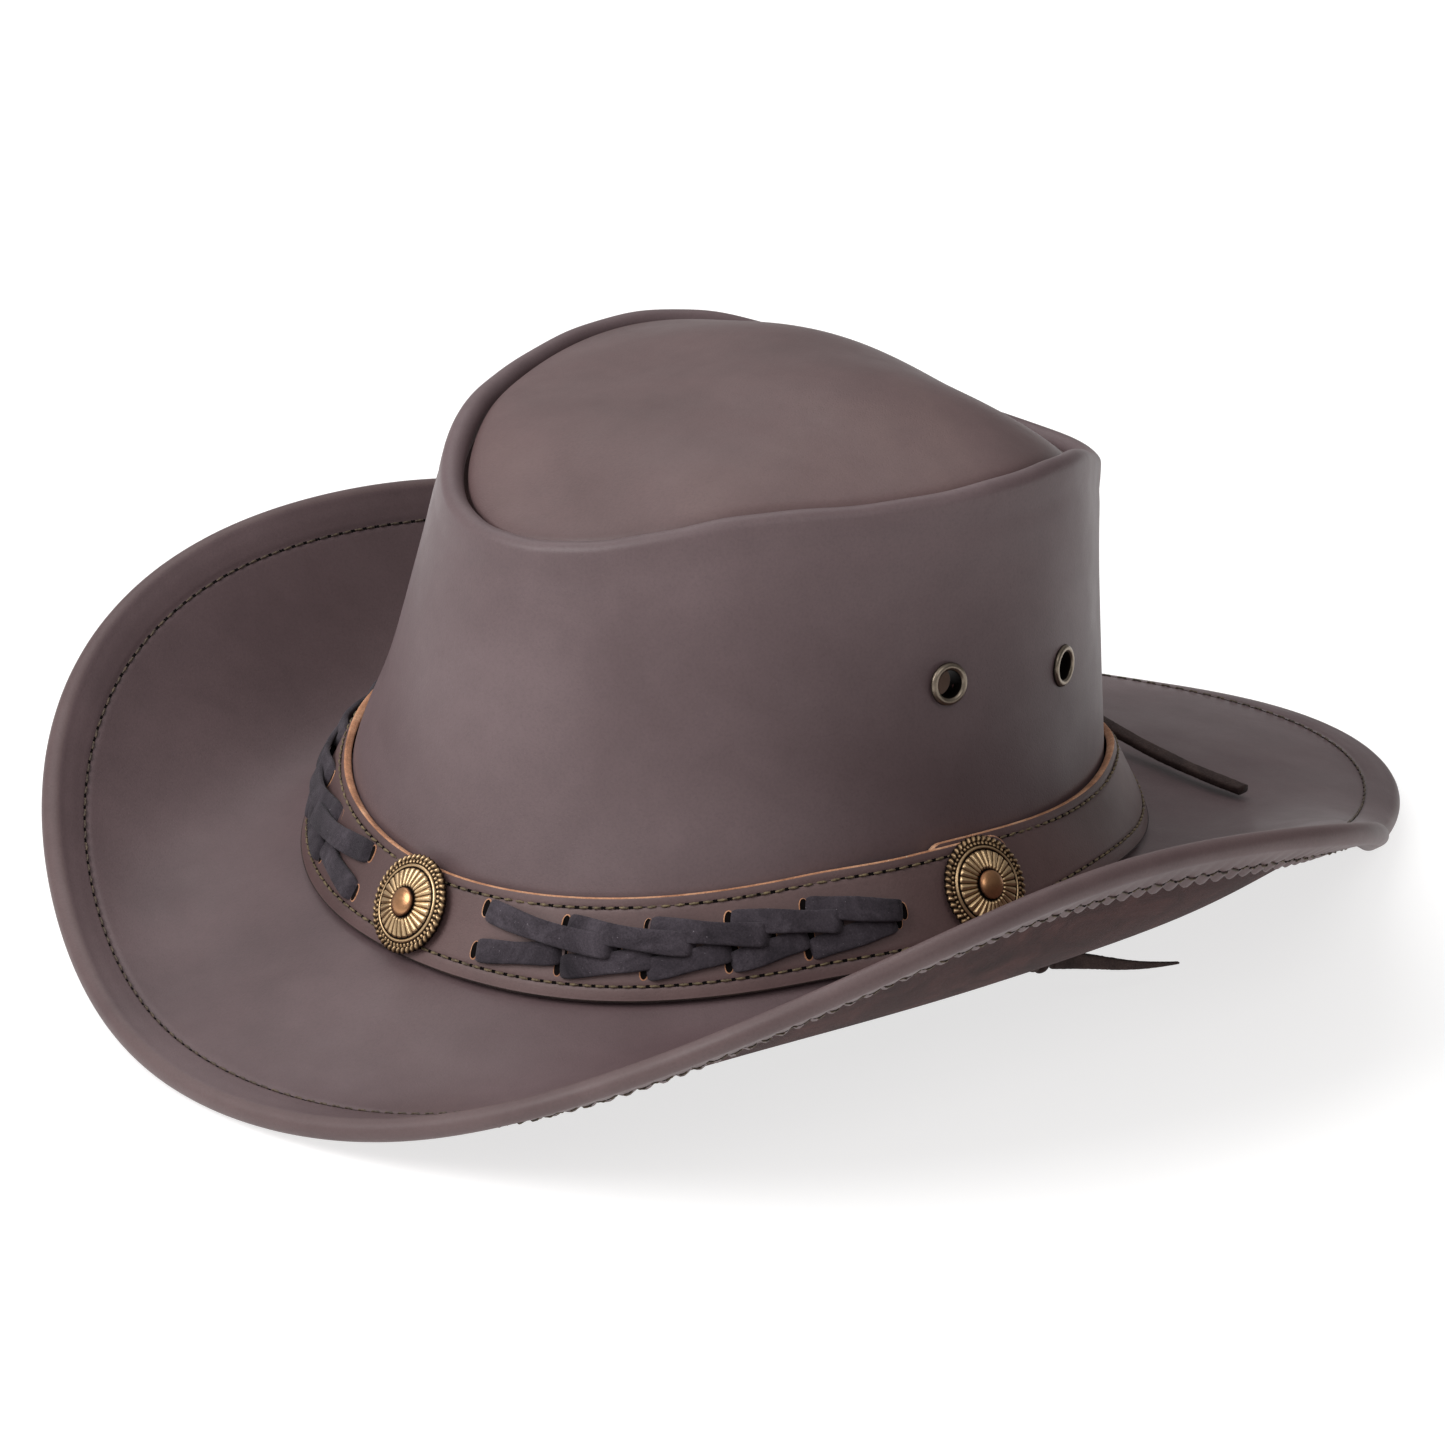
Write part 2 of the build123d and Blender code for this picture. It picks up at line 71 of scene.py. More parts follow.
# ---- sizes of details that only the visual has, in millimetres ----
BRIM_STITCH_PITCH, BRIM_STITCH_INSET, HEM_STITCH_INSET, SCALLOP_PITCH = 3.85, 7.6, 6.4, 4.7
STRAP_STITCH_PITCH, STRAP_ROW_FROM_TOP, STRAP_ROW_FROM_FOOT, STRAP_MIDDLE = 3.4, 2.6, 3.8, 12.0
EYELET_HOLE_RADIUS, HOLE_REACH = 4.3, 8.0


# ---- the ring frame: ring angle 0 at the front, 90 at the wearer's left, r outwards, z up ----
def around(values, angle):
    values = np.asarray(values, float)
    last = len(values) - 1
    index = np.arange(last + 1)
    share = np.where((index == 0) | (index == last), 0.5, 1.0)
    total = 0.0
    for order in range(last + 1):
        weight = (share * values * np.cos(np.pi * index * order / last)).sum()
        total = total + share[order] * 2 / last * weight * np.cos(order * np.radians(angle))
    return total


def place(angle, r, z):
    turn = np.radians(np.asarray(angle, float))
    x = HEAD_HALF_WIDTH * np.sin(turn) * (1 + HEAD_EGG * np.cos(turn))
    y = HEAD_SHIFT - HEAD_HALF_LENGTH * np.cos(turn)
    along_x = HEAD_HALF_WIDTH * (np.cos(turn) + HEAD_EGG * np.cos(2 * turn))
    along_y = HEAD_HALF_LENGTH * np.sin(turn)
    size = np.hypot(along_x, along_y)
    spots = np.broadcast_arrays(x + r * along_y / size, y - r * along_x / size,
                                np.asarray(z) + FOOT_ABOVE_TABLE)
    return np.stack(spots, -1) * MM


def smooth_step(value, start, end):
    share = np.clip((np.asarray(value, float) - start) / (end - start), 0, 1)
    return share * share * (3 - 2 * share)


def pair(first, second):
    return np.stack(np.broadcast_arrays(first, second), -1)


def unit(vectors):
    return vectors / np.linalg.norm(vectors, axis=-1, keepdims=True)


def run_along(points):
    """Distance from the first point to each point of a line."""
    return np.concatenate([[0], np.cumsum(np.linalg.norm(np.diff(points, axis=0), axis=1))])


def sample(points, run, stations):
    return np.stack([np.interp(stations, run, points[:, k]) for k in range(3)], -1)


def squared(wave, power):
    """A cosine or sine pushed towards a square wave, for flat sections with round corners."""
    return np.sign(wave) * np.abs(wave) ** power


def slope_vector(slope):
    return pair(np.cos(np.radians(slope)), np.sin(np.radians(slope)))


def left_normal(direction):
    return pair(-direction[..., 1], direction[..., 0])


def cubic(p0, p1, p2, p3, t):
    return p0 * (1 - t) ** 3 + 3 * p1 * (1 - t) ** 2 * t + 3 * p2 * (1 - t) * t ** 2 + p3 * t ** 3


def bezier(p0, p1, p2, p3, shares):
    """A row of points on every ring angle's own cubic."""
    return cubic(p0[:, None], p1[:, None], p2[:, None], p3[:, None], np.asarray(shares)[None, :, None])


def straight(p0, p1, shares):
    """A row of points on every ring angle's own straight line."""
    t = np.asarray(shares)[None, :, None]
    return p0[:, None] * (1 - t) + p1[:, None] * t


def half_turn(p0, p1, way, shares, squash=1.0):
    """Half circle from p0 to p1 bulging along way."""
    t = np.pi * np.asarray(shares)[None, :, None]
    middle, arm = (p0 + p1) / 2, (p0 - p1) / 2
    reach = np.linalg.norm(arm, axis=-1, keepdims=True) * squash
    return middle[:, None] + arm[:, None] * np.cos(t) + (way * reach)[:, None] * np.sin(t)


def wall_foot(angle):
    return around(FOOT_HEIGHT, angle) + BRIM_INNER_RISE + GAP


def wall_r(angle, z):
    foot = wall_foot(angle)
    return around(CROWN_LEAN, angle) * (z - foot) / (around(CROWN_RISE, angle) - foot)


def strap_line(angle, lap):
    foot = pair(BAND_REACH + lap, around(FOOT_HEIGHT, angle))
    top = pair(BAND_TOP_REACH + 0.1 * around(CROWN_LEAN, angle) + lap, around(BAND_TOP, angle))
    return foot, unit(top - foot), np.linalg.norm(top - foot, axis=-1)


def front_lap(angle):
    return LAP * smooth_step(np.abs(angle), LAP_START, LAP_END)


def no_lap(angle):
    return 0.0 * np.asarray(angle, float)


def strap_face(angle, height, proud=0.0, lap=front_lap):
    angle = np.asarray(angle, float)
    foot, up, _ = strap_line(angle, lap(angle))
    spot = foot + up * np.asarray(height)[..., None] - left_normal(up) * np.asarray(proud)[..., None]
    return place(angle, spot[..., 0], spot[..., 1])


def wall_face(angle, height, proud=0.0):
    return place(angle, wall_r(angle, height) + proud, height)


def seat_matrix(face, angle, height):
    """Matrix of a seat on a face: x along the ring, y up the face, z outwards."""
    across = Vector(face(angle + 1, height) - face(angle - 1, height)).normalized()
    up = Vector(face(angle, height + 1) - face(angle, height - 1)).normalized()
    outward = across.cross(up).normalized()
    up = outward.cross(across)
    matrix = Matrix((across, up, outward)).transposed().to_4x4()
    matrix.translation = Vector(face(angle, height))
    return matrix


# ---- mesh making ----
def make_mesh(name, points, faces, materials=(), face_material=None, uv=None, relief=None):
    mesh = bpy.data.meshes.new(name)
    points = np.asarray(points, float).reshape(-1, 3)
    mesh.from_pydata(points.tolist(), [], faces.tolist() if hasattr(faces, "tolist") else faces)
    for material in materials:
        mesh.materials.append(material)
    if face_material is not None:
        mesh.polygons.foreach_set("material_index", np.asarray(face_material, np.int32).ravel())
    mesh.polygons.foreach_set("use_smooth", np.ones(len(mesh.polygons), bool))
    if uv is not None:
        layer = mesh.uv_layers.new(name="UVMap")
        layer.data.foreach_set("uv", np.asarray(uv, np.float32).ravel())
    if relief is not None:
        attribute = mesh.attributes.new("relief", "FLOAT", "POINT")
        attribute.data.foreach_set("value", np.asarray(relief, np.float32).ravel())
    mesh.update()
    piece = bpy.data.objects.new(name.replace(" ", "_"), mesh)
    bpy.context.scene.collection.objects.link(piece)
    return piece


def tube_faces(rings, sides):
    r, s = np.meshgrid(np.arange(rings - 1), np.arange(sides), indexing="ij")
    s2 = (s + 1) % sides
    corners = [r * sides + s, r * sides + s2, (r + 1) * sides + s2, (r + 1) * sides + s]
    return np.stack(corners, -1).reshape(-1, 4)


def grid_piece(name, grid, materials, row_material=None, closed_u=True, closed_v=True,
               relief=None, caps=False, holes=()):
    """Mesh over grid[u, v]; row_material is the material number of each strip along v."""
    count_u, count_v = grid.shape[:2]
    u = np.arange(count_u if closed_u else count_u - 1)
    v = np.arange(count_v if closed_v else count_v - 1)
    uu, vv = np.meshgrid(u, v, indexing="ij")
    u2, v2 = (uu + 1) % count_u, (vv + 1) % count_v
    faces = np.stack([uu * count_v + vv, u2 * count_v + vv, u2 * count_v + v2, uu * count_v + v2], -1)
    step_v = np.linalg.norm(np.roll(grid, -1, 1) - grid, axis=-1).mean(0) / MM
    run_v = np.concatenate([[0], np.cumsum(step_v)])
    step_u = np.linalg.norm(np.roll(grid, -1, 0) - grid, axis=-1).max(1) / MM
    run_u = np.concatenate([[0], np.cumsum(step_u)])
    uv = np.stack([
        np.stack([run_u[uu], run_v[vv]], -1), np.stack([run_u[uu + 1], run_v[vv]], -1),
        np.stack([run_u[uu + 1], run_v[vv + 1]], -1), np.stack([run_u[uu], run_v[vv + 1]], -1),
    ], 2)
    face_material = None
    if row_material is not None:
        face_material = np.asarray(row_material)[vv].ravel()
    faces = faces.reshape(-1, 4)
    centres = grid.reshape(-1, 3)[faces].mean(1)
    kept = np.ones(len(faces), bool)
    for seat, radius in holes:
        axis, middle = np.array(seat.col[2])[:3], np.array(seat.translation)
        away = centres - middle
        depth = away @ axis
        off_axis = np.linalg.norm(away - depth[:, None] * axis, axis=1)
        kept &= (np.abs(depth) > HOLE_REACH * MM) | (off_axis > radius * MM)
    faces = faces[kept]
    uv = uv.reshape(-1, 4, 2)[kept].reshape(-1, 2)
    if face_material is not None:
        face_material = face_material[kept]
    face_list = faces.tolist()
    if caps:
        first = [int(i) for i in range(count_v)]
        last = [int((count_u - 1) * count_v + i) for i in reversed(range(count_v))]
        face_list += [first, last]
        cap_material = 0 if row_material is None else row_material[-1]
        face_material = np.concatenate([
            np.zeros(len(faces)) if face_material is None else face_material,
            [cap_material, cap_material]])
        uv = np.concatenate([uv, np.zeros((2 * count_v, 2))])
    piece = make_mesh(name, grid, face_list, materials, face_material, uv, relief)
    return outward_faces(piece)


def outward_faces(piece):
    """Turns every face outwards, judged by the mesh's signed volume."""
    mesh = piece.data
    mesh.calc_loop_triangles()
    spots = np.empty(len(mesh.vertices) * 3)
    mesh.vertices.foreach_get("co", spots)
    spots = spots.reshape(-1, 3)
    corners = np.empty(len(mesh.loop_triangles) * 3, np.int32)
    mesh.loop_triangles.foreach_get("vertices", corners)
    a, b, c = (spots[corners.reshape(-1, 3)[:, i]] for i in range(3))
    if (a * np.cross(b, c)).sum() < 0:
        mesh.flip_normals()
    return piece


def own(piece, body, slot, *nodes):
    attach(piece, body)
    if nodes:
        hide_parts(*nodes)
    return piece


# ---- materials ----
def linear(colour):
    return tuple(((c / 255 + 0.055) / 1.055) ** 2.4 if c > 10 else c / 255 / 12.92 for c in colour) + (1.0,)


class Look:
    """A node material under construction. Lengths in its textures are millimetres."""

    def __init__(self, name, roughness=0.5, metallic=0.0):
        self.material = bpy.data.materials.new(name)
        self.material.use_nodes = True
        self.tree = self.material.node_tree
        self.shader = self.tree.nodes["Principled BSDF"]
        self.shader.inputs["Roughness"].default_value = roughness
        self.shader.inputs["Metallic"].default_value = metallic
        self.place = self.tree.nodes.new("ShaderNodeTexCoord").outputs["Object"]

    def join(self, source, target):
        if hasattr(source, "is_output"):
            self.tree.links.new(source, target)
        else:
            target.default_value = source

    def noise(self, size, detail=4.0, rough=0.55, twist=0.0, stretch=None):
        node = self.tree.nodes.new("ShaderNodeTexNoise")
        node.inputs["Scale"].default_value = 1000.0 / size
        node.inputs["Detail"].default_value = detail
        node.inputs["Roughness"].default_value = rough
        node.inputs["Distortion"].default_value = twist
        source = self.place
        if stretch:
            scaling = self.tree.nodes.new("ShaderNodeMapping")
            scaling.inputs["Scale"].default_value = stretch
            self.tree.links.new(source, scaling.inputs["Vector"])
            source = scaling.outputs["Vector"]
        self.tree.links.new(source, node.inputs["Vector"])
        return node.outputs[0]

    def cells(self, size):
        node = self.tree.nodes.new("ShaderNodeTexVoronoi")
        node.inputs["Scale"].default_value = 1000.0 / size
        self.tree.links.new(self.place, node.inputs["Vector"])
        return node.outputs["Distance"]

    def ramp(self, value, *stops):
        node = self.tree.nodes.new("ShaderNodeValToRGB")
        steps = node.color_ramp.elements
        while len(steps) < len(stops):
            steps.new(0.5)
        for step, (position, colour) in zip(steps, stops):
            step.position = position
            step.color = linear(colour) if hasattr(colour, "__len__") else (colour, colour, colour, 1)
        self.join(value, node.inputs["Fac"])
        return node.outputs["Color"]

    def mix(self, share, first, second, blend="MIX"):
        node = self.tree.nodes.new("ShaderNodeMix")
        node.data_type = "RGBA"
        node.blend_type = blend
        self.join(share, node.inputs["Factor"])
        self.join(first, node.inputs["A"])
        self.join(second, node.inputs["B"])
        for socket in node.outputs:
            if socket.type == "RGBA":
                return socket

    def sum(self, first, second, operation="ADD"):
        node = self.tree.nodes.new("ShaderNodeMath")
        node.operation = operation
        self.join(first, node.inputs[0])
        self.join(second, node.inputs[1])
        return node.outputs[0]

    def attribute(self, name):
        node = self.tree.nodes.new("ShaderNodeAttribute")
        node.attribute_name = name
        return node.outputs["Fac"]

    def bump(self, height, distance, strength=1.0, under=None):
        node = self.tree.nodes.new("ShaderNodeBump")
        node.inputs["Distance"].default_value = distance * MM
        node.inputs["Strength"].default_value = strength
        self.join(height, node.inputs["Height"])
        if under is not None:
            self.tree.links.new(under, node.inputs["Normal"])
        return node.outputs["Normal"]

    def finish(self, colour=None, roughness=None, normal=None):
        for source, name in ((colour, "Base Color"), (roughness, "Roughness"), (normal, "Normal")):
            if source is not None:
                self.join(source, self.shader.inputs[name])
        return self.material


def lighten(look, share, colour, light, step):
    """Mix towards a colour that is a step lighter than the leather's light tone."""
    return look.mix(share, colour, linear(tuple(min(255, channel + step) for channel in light)))


def smooth_leather(name, dark, mid, light, worn=0.35, roughness=0.50, grain=0.05):
    """Waxed cowhide: even tone, fine pores, faint scuffs and creases."""
    look = Look(name)
    clouds = look.ramp(look.noise(55, 4, 0.5, 0.3), (0.30, dark), (0.52, mid), (0.74, light))
    blotch = look.ramp(look.noise(7, 6, 0.6), (0.3, 0.95), (0.7, 1.04))
    colour = look.mix(1.0, clouds, blotch, "MULTIPLY")
    speck = look.ramp(look.noise(0.8, 3, 0.7), (0.30, 0.88), (0.52, 1.0), (0.78, 1.08))
    colour = look.mix(0.8, colour, speck, "MULTIPLY")
    dust = look.ramp(look.noise(1.3, 2, 0.5), (0.74, 0.0), (0.78, 1.0))
    scuff = look.ramp(look.noise(4.5, 9, 0.8, 1.5, (1, 1, 2.4)), (0.66, 0.0), (0.76, 1.0))
    marks = look.sum(scuff, look.sum(dust, 0.5, "MULTIPLY"), "MAXIMUM")
    colour = lighten(look, look.sum(marks, worn * 0.4, "MULTIPLY"), colour, light, 38)
    pores = look.ramp(look.cells(0.7), (0.05, 0.0), (0.45, 1.0))
    colour = look.mix(0.14, colour, look.ramp(pores, (0.0, 0.6), (0.6, 1.0)), "MULTIPLY")
    shine = look.sum(look.ramp(look.noise(18, 5, 0.6), (0.3, roughness - 0.04), (0.7, roughness + 0.06)),
                     look.sum(scuff, 0.12, "MULTIPLY"))
    folds = look.bump(look.noise(9, 3, 0.45, 0.5), 0.22, 0.25)
    normal = look.bump(pores, grain, 0.5, folds)
    normal = look.bump(look.noise(0.3, 3, 0.6), grain * 0.6, 0.45, normal)
    look.shader.inputs["Specular IOR Level"].default_value = 0.40
    look.shader.inputs["Coat Weight"].default_value = 0.03
    look.shader.inputs["Coat Roughness"].default_value = 0.32
    return look.finish(colour, shine, normal)


def suede(name, dark, mid, light, size=0.45):
    """Flesh side of the hide: short fibres, no shine."""
    look = Look(name, 0.92)
    tone = look.ramp(look.noise(16, 6, 0.7, 0.8), (0.30, dark), (0.5, mid), (0.72, light))
    nap = look.ramp(look.noise(size, 5, 0.75), (0.3, 0.55), (0.7, 1.4))
    colour = look.mix(0.8, tone, nap, "MULTIPLY")
    lint = look.ramp(look.noise(0.55, 2, 0.5), (0.735, 0.0), (0.775, 1.0))
    colour = lighten(look, look.sum(lint, 0.5, "MULTIPLY"), colour, light, 90)
    normal = look.bump(look.noise(size, 5, 0.75), 0.25, 0.8)
    look.shader.inputs["Sheen Weight"].default_value = 0.07
    look.shader.inputs["Sheen Roughness"].default_value = 0.45
    look.shader.inputs["Specular IOR Level"].default_value = 0.2
    return look.finish(colour, None, normal)


def metal(name, bright, mid, patina_and_shade, roughness=0.34, level=(0.25, 0.6)):
    """Antiqued metal: bright on the raised parts, dark patina in the recesses, and the same dark as painted
    shade inside the eyelet barrels.
    """
    look = Look(name, roughness, 1.0)
    relief = look.attribute("relief")
    cloud = look.noise(2.2, 6, 0.7, 0.6)
    height = look.sum(relief, look.sum(look.sum(cloud, 0.5, "SUBTRACT"), 0.35, "MULTIPLY"))
    colour = look.ramp(height, (level[0], patina_and_shade), ((level[0] + level[1]) / 2, mid), (level[1], bright))
    spots = look.ramp(look.noise(0.7, 4, 0.7), (0.35, 0.75), (0.6, 1.0))
    colour = look.mix(0.6, colour, spots, "MULTIPLY")
    shine = look.ramp(height, (level[0], 0.75), (level[1], roughness))
    normal = look.bump(look.noise(0.5, 4, 0.6), 0.04, 0.5)
    return look.finish(colour, shine, normal)


def twisted_thread(name, bright, dark):
    """Waxed thread with its fibres showing."""
    look = Look(name, 0.62)
    colour = look.ramp(look.noise(1.1, 4, 0.6), (0.34, dark), (0.62, bright))
    fibres = look.noise(0.22, 3, 0.7)
    colour = look.mix(0.5, colour, look.ramp(fibres, (0.3, 0.65), (0.7, 1.15)), "MULTIPLY")
    return look.finish(colour, None, look.bump(fibres, 0.08, 0.8))


def dark_hole(name):
    """The shade inside needle holes and slots."""
    look = Look(name, 0.95)
    look.shader.inputs["Specular IOR Level"].default_value = 0.1
    return look.finish(look.ramp(look.noise(0.6), (0.3, (8, 6, 6)), (0.7, (16, 12, 12))))


crown_leather = smooth_leather("crown leather", (90, 73, 75), (99, 82, 84), (107, 90, 92))
top_leather = smooth_leather("crown top leather", (84, 64, 64), (95, 74, 74), (105, 84, 82))
brim_leather = smooth_leather("brim leather", (80, 63, 65), (90, 72, 74), (98, 80, 82))
hem_leather = smooth_leather("hem leather", (82, 64, 65), (92, 74, 74), (102, 84, 84), 0.6, 0.52)
strap_leather = smooth_leather("hatband leather", (78, 58, 57), (93, 71, 70), (105, 83, 81), 0.6, 0.56)
raw_edge = suede("raw copper edge", (128, 86, 62), (186, 134, 102), (220, 176, 142), 0.5)
# The hatband's foot edge is painted near-black as shade where the band sits on the brim; the same cut edge
# at the top keeps the raw copper colour
strap_foot_shade = suede("cut edge painted shade", (30, 21, 20), (46, 34, 32), (62, 47, 43), 0.6)
flesh_side = suede("suede underside", (38, 19, 18), (56, 32, 31), (76, 46, 43), 0.7)
# The cut end of the turned-under hem is painted near-black as the shadow under the scalloped hem boundary;
# the leather's own cut edges are copper
hem_end_shadow = suede("hem cut edge painted shadow", (30, 21, 20), (46, 33, 31), (62, 46, 43))
lace_suede = suede("black lace suede", (38, 34, 39), (60, 54, 60), (84, 77, 84), 0.5)
thong_suede = suede("thong leather", (36, 26, 25), (54, 41, 39), (76, 60, 55), 0.6)
lining = smooth_leather("sweatband leather", (62, 42, 32), (82, 58, 44), (100, 74, 56))
tape_cloth = suede("seam tape", (40, 32, 30), (54, 44, 42), (66, 55, 52), 0.7)
brass = metal("antique brass", (206, 176, 136), (134, 108, 80), (32, 26, 24), 0.32)
copper = metal("worn copper", (186, 138, 100), (144, 100, 72), (58, 42, 36), 0.30, (0.1, 0.5))
# The nickel's darkest tone is patina in its recesses and painted shade inside the eyelet barrels
nickel = metal("antique nickel", (140, 128, 114), (98, 88, 78), (28, 24, 22), 0.32)
thread = twisted_thread("waxed thread", (122, 105, 74), (66, 54, 40))
brim_thread = twisted_thread("olive thread", (90, 75, 58), (46, 37, 31))
hole = dark_hole("needle hole")


# ---- stitches ----
def stitch_row(name, points, normals, pitch, slot, look, radius, fill):
    """Twisted thread stitches and their needle holes along a line on the leather."""
    depth = 0.25
    run = run_along(points) / MM
    along, normals = unit(np.gradient(points, axis=0)), unit(normals)
    count = max(1, int(run[-1] / pitch))
    pitch = run[-1] / count
    rings, sides = 11, 8
    t = np.linspace(-1, 1, rings)
    turn = np.linspace(0, 2 * np.pi, sides, endpoint=False)
    all_points, all_faces, hole_points, hole_faces = [], [], [], []
    for index in range(count):
        centre = (index + 0.5 + RANDOM.normal(0, 0.02)) * pitch
        half = pitch * fill / 2 * (1 + RANDOM.normal(0, 0.03))
        stations = centre + t * half
        spot, up, way = (sample(values, run, stations) for values in (points, normals, along))
        side = unit(np.cross(up, way))
        lean = RANDOM.normal(0, 0.05)
        lift = (radius * 1.05 - (depth + radius) * np.abs(t) ** 5) * MM
        thick = radius * (1 - 0.45 * np.abs(t) ** 4) * MM
        twist = 1 + 0.22 * np.cos(2 * turn[None, :] - t[:, None] * 5.2 * half / 1.4)
        ring = (spot[:, None] + (up * lift[:, None] + side * (lean * t * half * MM)[:, None])[:, None]
                + side[:, None] * (np.cos(turn)[None, :] * thick[:, None] * twist)[..., None]
                + up[:, None] * (np.sin(turn)[None, :] * thick[:, None] * twist * 0.9)[..., None])
        all_faces.append(len(all_points) * rings * sides + tube_faces(rings, sides))
        all_points.append(ring.reshape(-1, 3))
        for end in (0, -1):
            middle = spot[end] + up[end] * 0.05 * MM + way[end] * (0.18 * MM * (1 if end else -1))
            disc = middle + (side[end][None] * np.cos(turn)[:, None] * 0.42
                             + way[end][None] * np.sin(turn)[:, None] * 0.5) * MM
            hole_faces.append([len(hole_points) * sides + k for k in range(sides)])
            hole_points.append(disc)
    piece = make_mesh(name, np.concatenate(all_points), np.concatenate(all_faces), [look])
    own(piece, ROOT, slot)
    holes = make_mesh(name + " holes", np.concatenate(hole_points), hole_faces, [hole])
    own(holes, ROOT, slot)


def brim_stitches(name, grid, column, side):
    """Stitches round one column of the brim's grid, on its upper (1) or lower (-1) side."""
    points = grid[:, column]
    along = np.roll(points, -1, 0) - np.roll(points, 1, 0)
    normals = np.cross(along, grid[:, column + 1] - grid[:, column - 1])
    normals = normals * side * np.sign(normals[0, 2])
    points, normals = (np.concatenate([values, values[:1]]) for values in (points, normals))
    stitch_row(name, points, normals, BRIM_STITCH_PITCH, "hat_leather", brim_thread, 0.27, 0.74)


# ---- brim ----
ring_angles = np.linspace(0, 360, 1080, endpoint=False)


def build_brim():
    angle = ring_angles
    foot = around(FOOT_HEIGHT, angle)
    inner = pair(BRIM_INNER, foot + BRIM_INNER_RISE)
    root = pair(BAND_REACH, foot - BRIM_UNDER_BAND)
    end = pair(BAND_REACH + around(BRIM_REACH, angle), around(BRIM_HEIGHT, angle))
    inner_way = slope_vector(BRIM_INNER_SLOPE + 0 * angle)
    root_way = slope_vector(around(ROOT_SLOPE, angle))
    end_way = slope_vector(around(EDGE_SLOPE, angle))
    near = np.linalg.norm(root - inner, axis=1, keepdims=True) / 3
    far = np.linalg.norm(end - root, axis=1, keepdims=True) / 3
    chord = float(far.mean()) * 3
    close = np.arange(14.0, -0.01, -0.4) / chord
    shares = np.concatenate([np.linspace(0, 1 - 14.4 / chord, 52), 1 - close])
    top_near = bezier(inner, inner + inner_way * near, root - root_way * near, root,
                      np.linspace(0, 1, 10)[:-1])
    top = bezier(root, root + root_way * far, end - end_way * far, end, shares)
    top_normals = unit(left_normal(np.gradient(top, axis=1)))
    from_edge = (1 - shares)[None, :] * far * 3
    groove = 0.28 * np.exp(-((from_edge - BRIM_STITCH_INSET) / 0.8) ** 2)
    pillow = 0.16 * np.exp(-((from_edge - 3.4) / 2.2) ** 2)
    top = top + top_normals * (pillow - groove)[..., None]
    down = -left_normal(end_way)
    fold_out = end + down * (2 * LEATHER + 2 * FOLD_INNER)
    fold_in = end + down * (LEATHER + 2 * FOLD_INNER)
    edge_line = place(angle, end[:, 0], end[:, 1])
    edge_run = run_along(np.concatenate([edge_line, edge_line[:1]])) / MM
    scallops = round(edge_run[-1] / SCALLOP_PITCH)
    phase = edge_run[:-1] / edge_run[-1] * scallops
    wobble = 0.25 * np.sin(phase * 0.37) + 0.2 * np.sin(phase * 0.119 + 1)
    scallop = np.abs(np.cos(np.pi * (phase + wobble))) ** 0.8
    hem_width = HEM_WIDTH - 0.9 + 1.3 * scallop
    share = 1 - hem_width / (far[:, 0] * 3)
    share = share[:, None]
    root_pull, end_pull = root + root_way * far, end - end_way * far
    hem_spot = cubic(root, root_pull, end_pull, end, share)
    hem_way = unit((root_pull - root) * (1 - share) ** 2 + (end_pull - root_pull) * 2 * (1 - share) * share
                   + (end - end_pull) * share ** 2)
    hem_down = -left_normal(hem_way)
    thick = LEATHER * (0.72 + 0.28 * scallop)
    hem_up = hem_spot + hem_down * (LEATHER + HEM_GAP * 0.6)
    hem_low = hem_spot + hem_down * (LEATHER + HEM_GAP * 0.6 + thick)[:, None]
    leg_shares = np.linspace(0, 1, 26)[1:]
    leg = straight(fold_out, hem_low, leg_shares)
    puff = 0.55 * (scallop - 0.5)[:, None] * smooth_step(leg_shares, 0.35, 0.95)[None, :]
    leg_groove = 0.22 * np.exp(-((leg_shares[None, :] * hem_width[:, None] - HEM_STITCH_INSET) / 0.6) ** 2)
    leg = leg + hem_down[:, None] * (puff - leg_groove)[..., None]
    cap = half_turn(leg[:, -1], hem_up, -hem_way, np.linspace(0, 1, 6)[1:-1], 0.7)
    tuck = straight(hem_up, fold_in, np.linspace(0, 1, 4))
    inner_turn = half_turn(fold_in, end + down * LEATHER, end_way, np.linspace(0, 1, 6)[1:-1])
    fold = half_turn(end, fold_out, end_way, np.linspace(0, 1, 16)[1:])
    low_inner, low_root, low_end = (spot - left_normal(spot_way) * LEATHER for spot, spot_way in
                                    ((inner, inner_way), (root, root_way), (end, end_way)))
    under = bezier(low_end, low_end - end_way * far, low_root + root_way * far, low_root,
                   np.linspace(0, 1, 46))
    under_near = bezier(low_root, low_root - root_way * near, low_inner + inner_way * near, low_inner,
                        np.linspace(0, 1, 8)[1:])
    outline = np.concatenate([top_near, top, fold, leg, cap, tuck, inner_turn, under, under_near], 1)
    counts = [top_near.shape[1] + top.shape[1], fold.shape[1] + leg.shape[1], cap.shape[1],
              tuck.shape[1] + inner_turn.shape[1] + under.shape[1] + under_near.shape[1]]
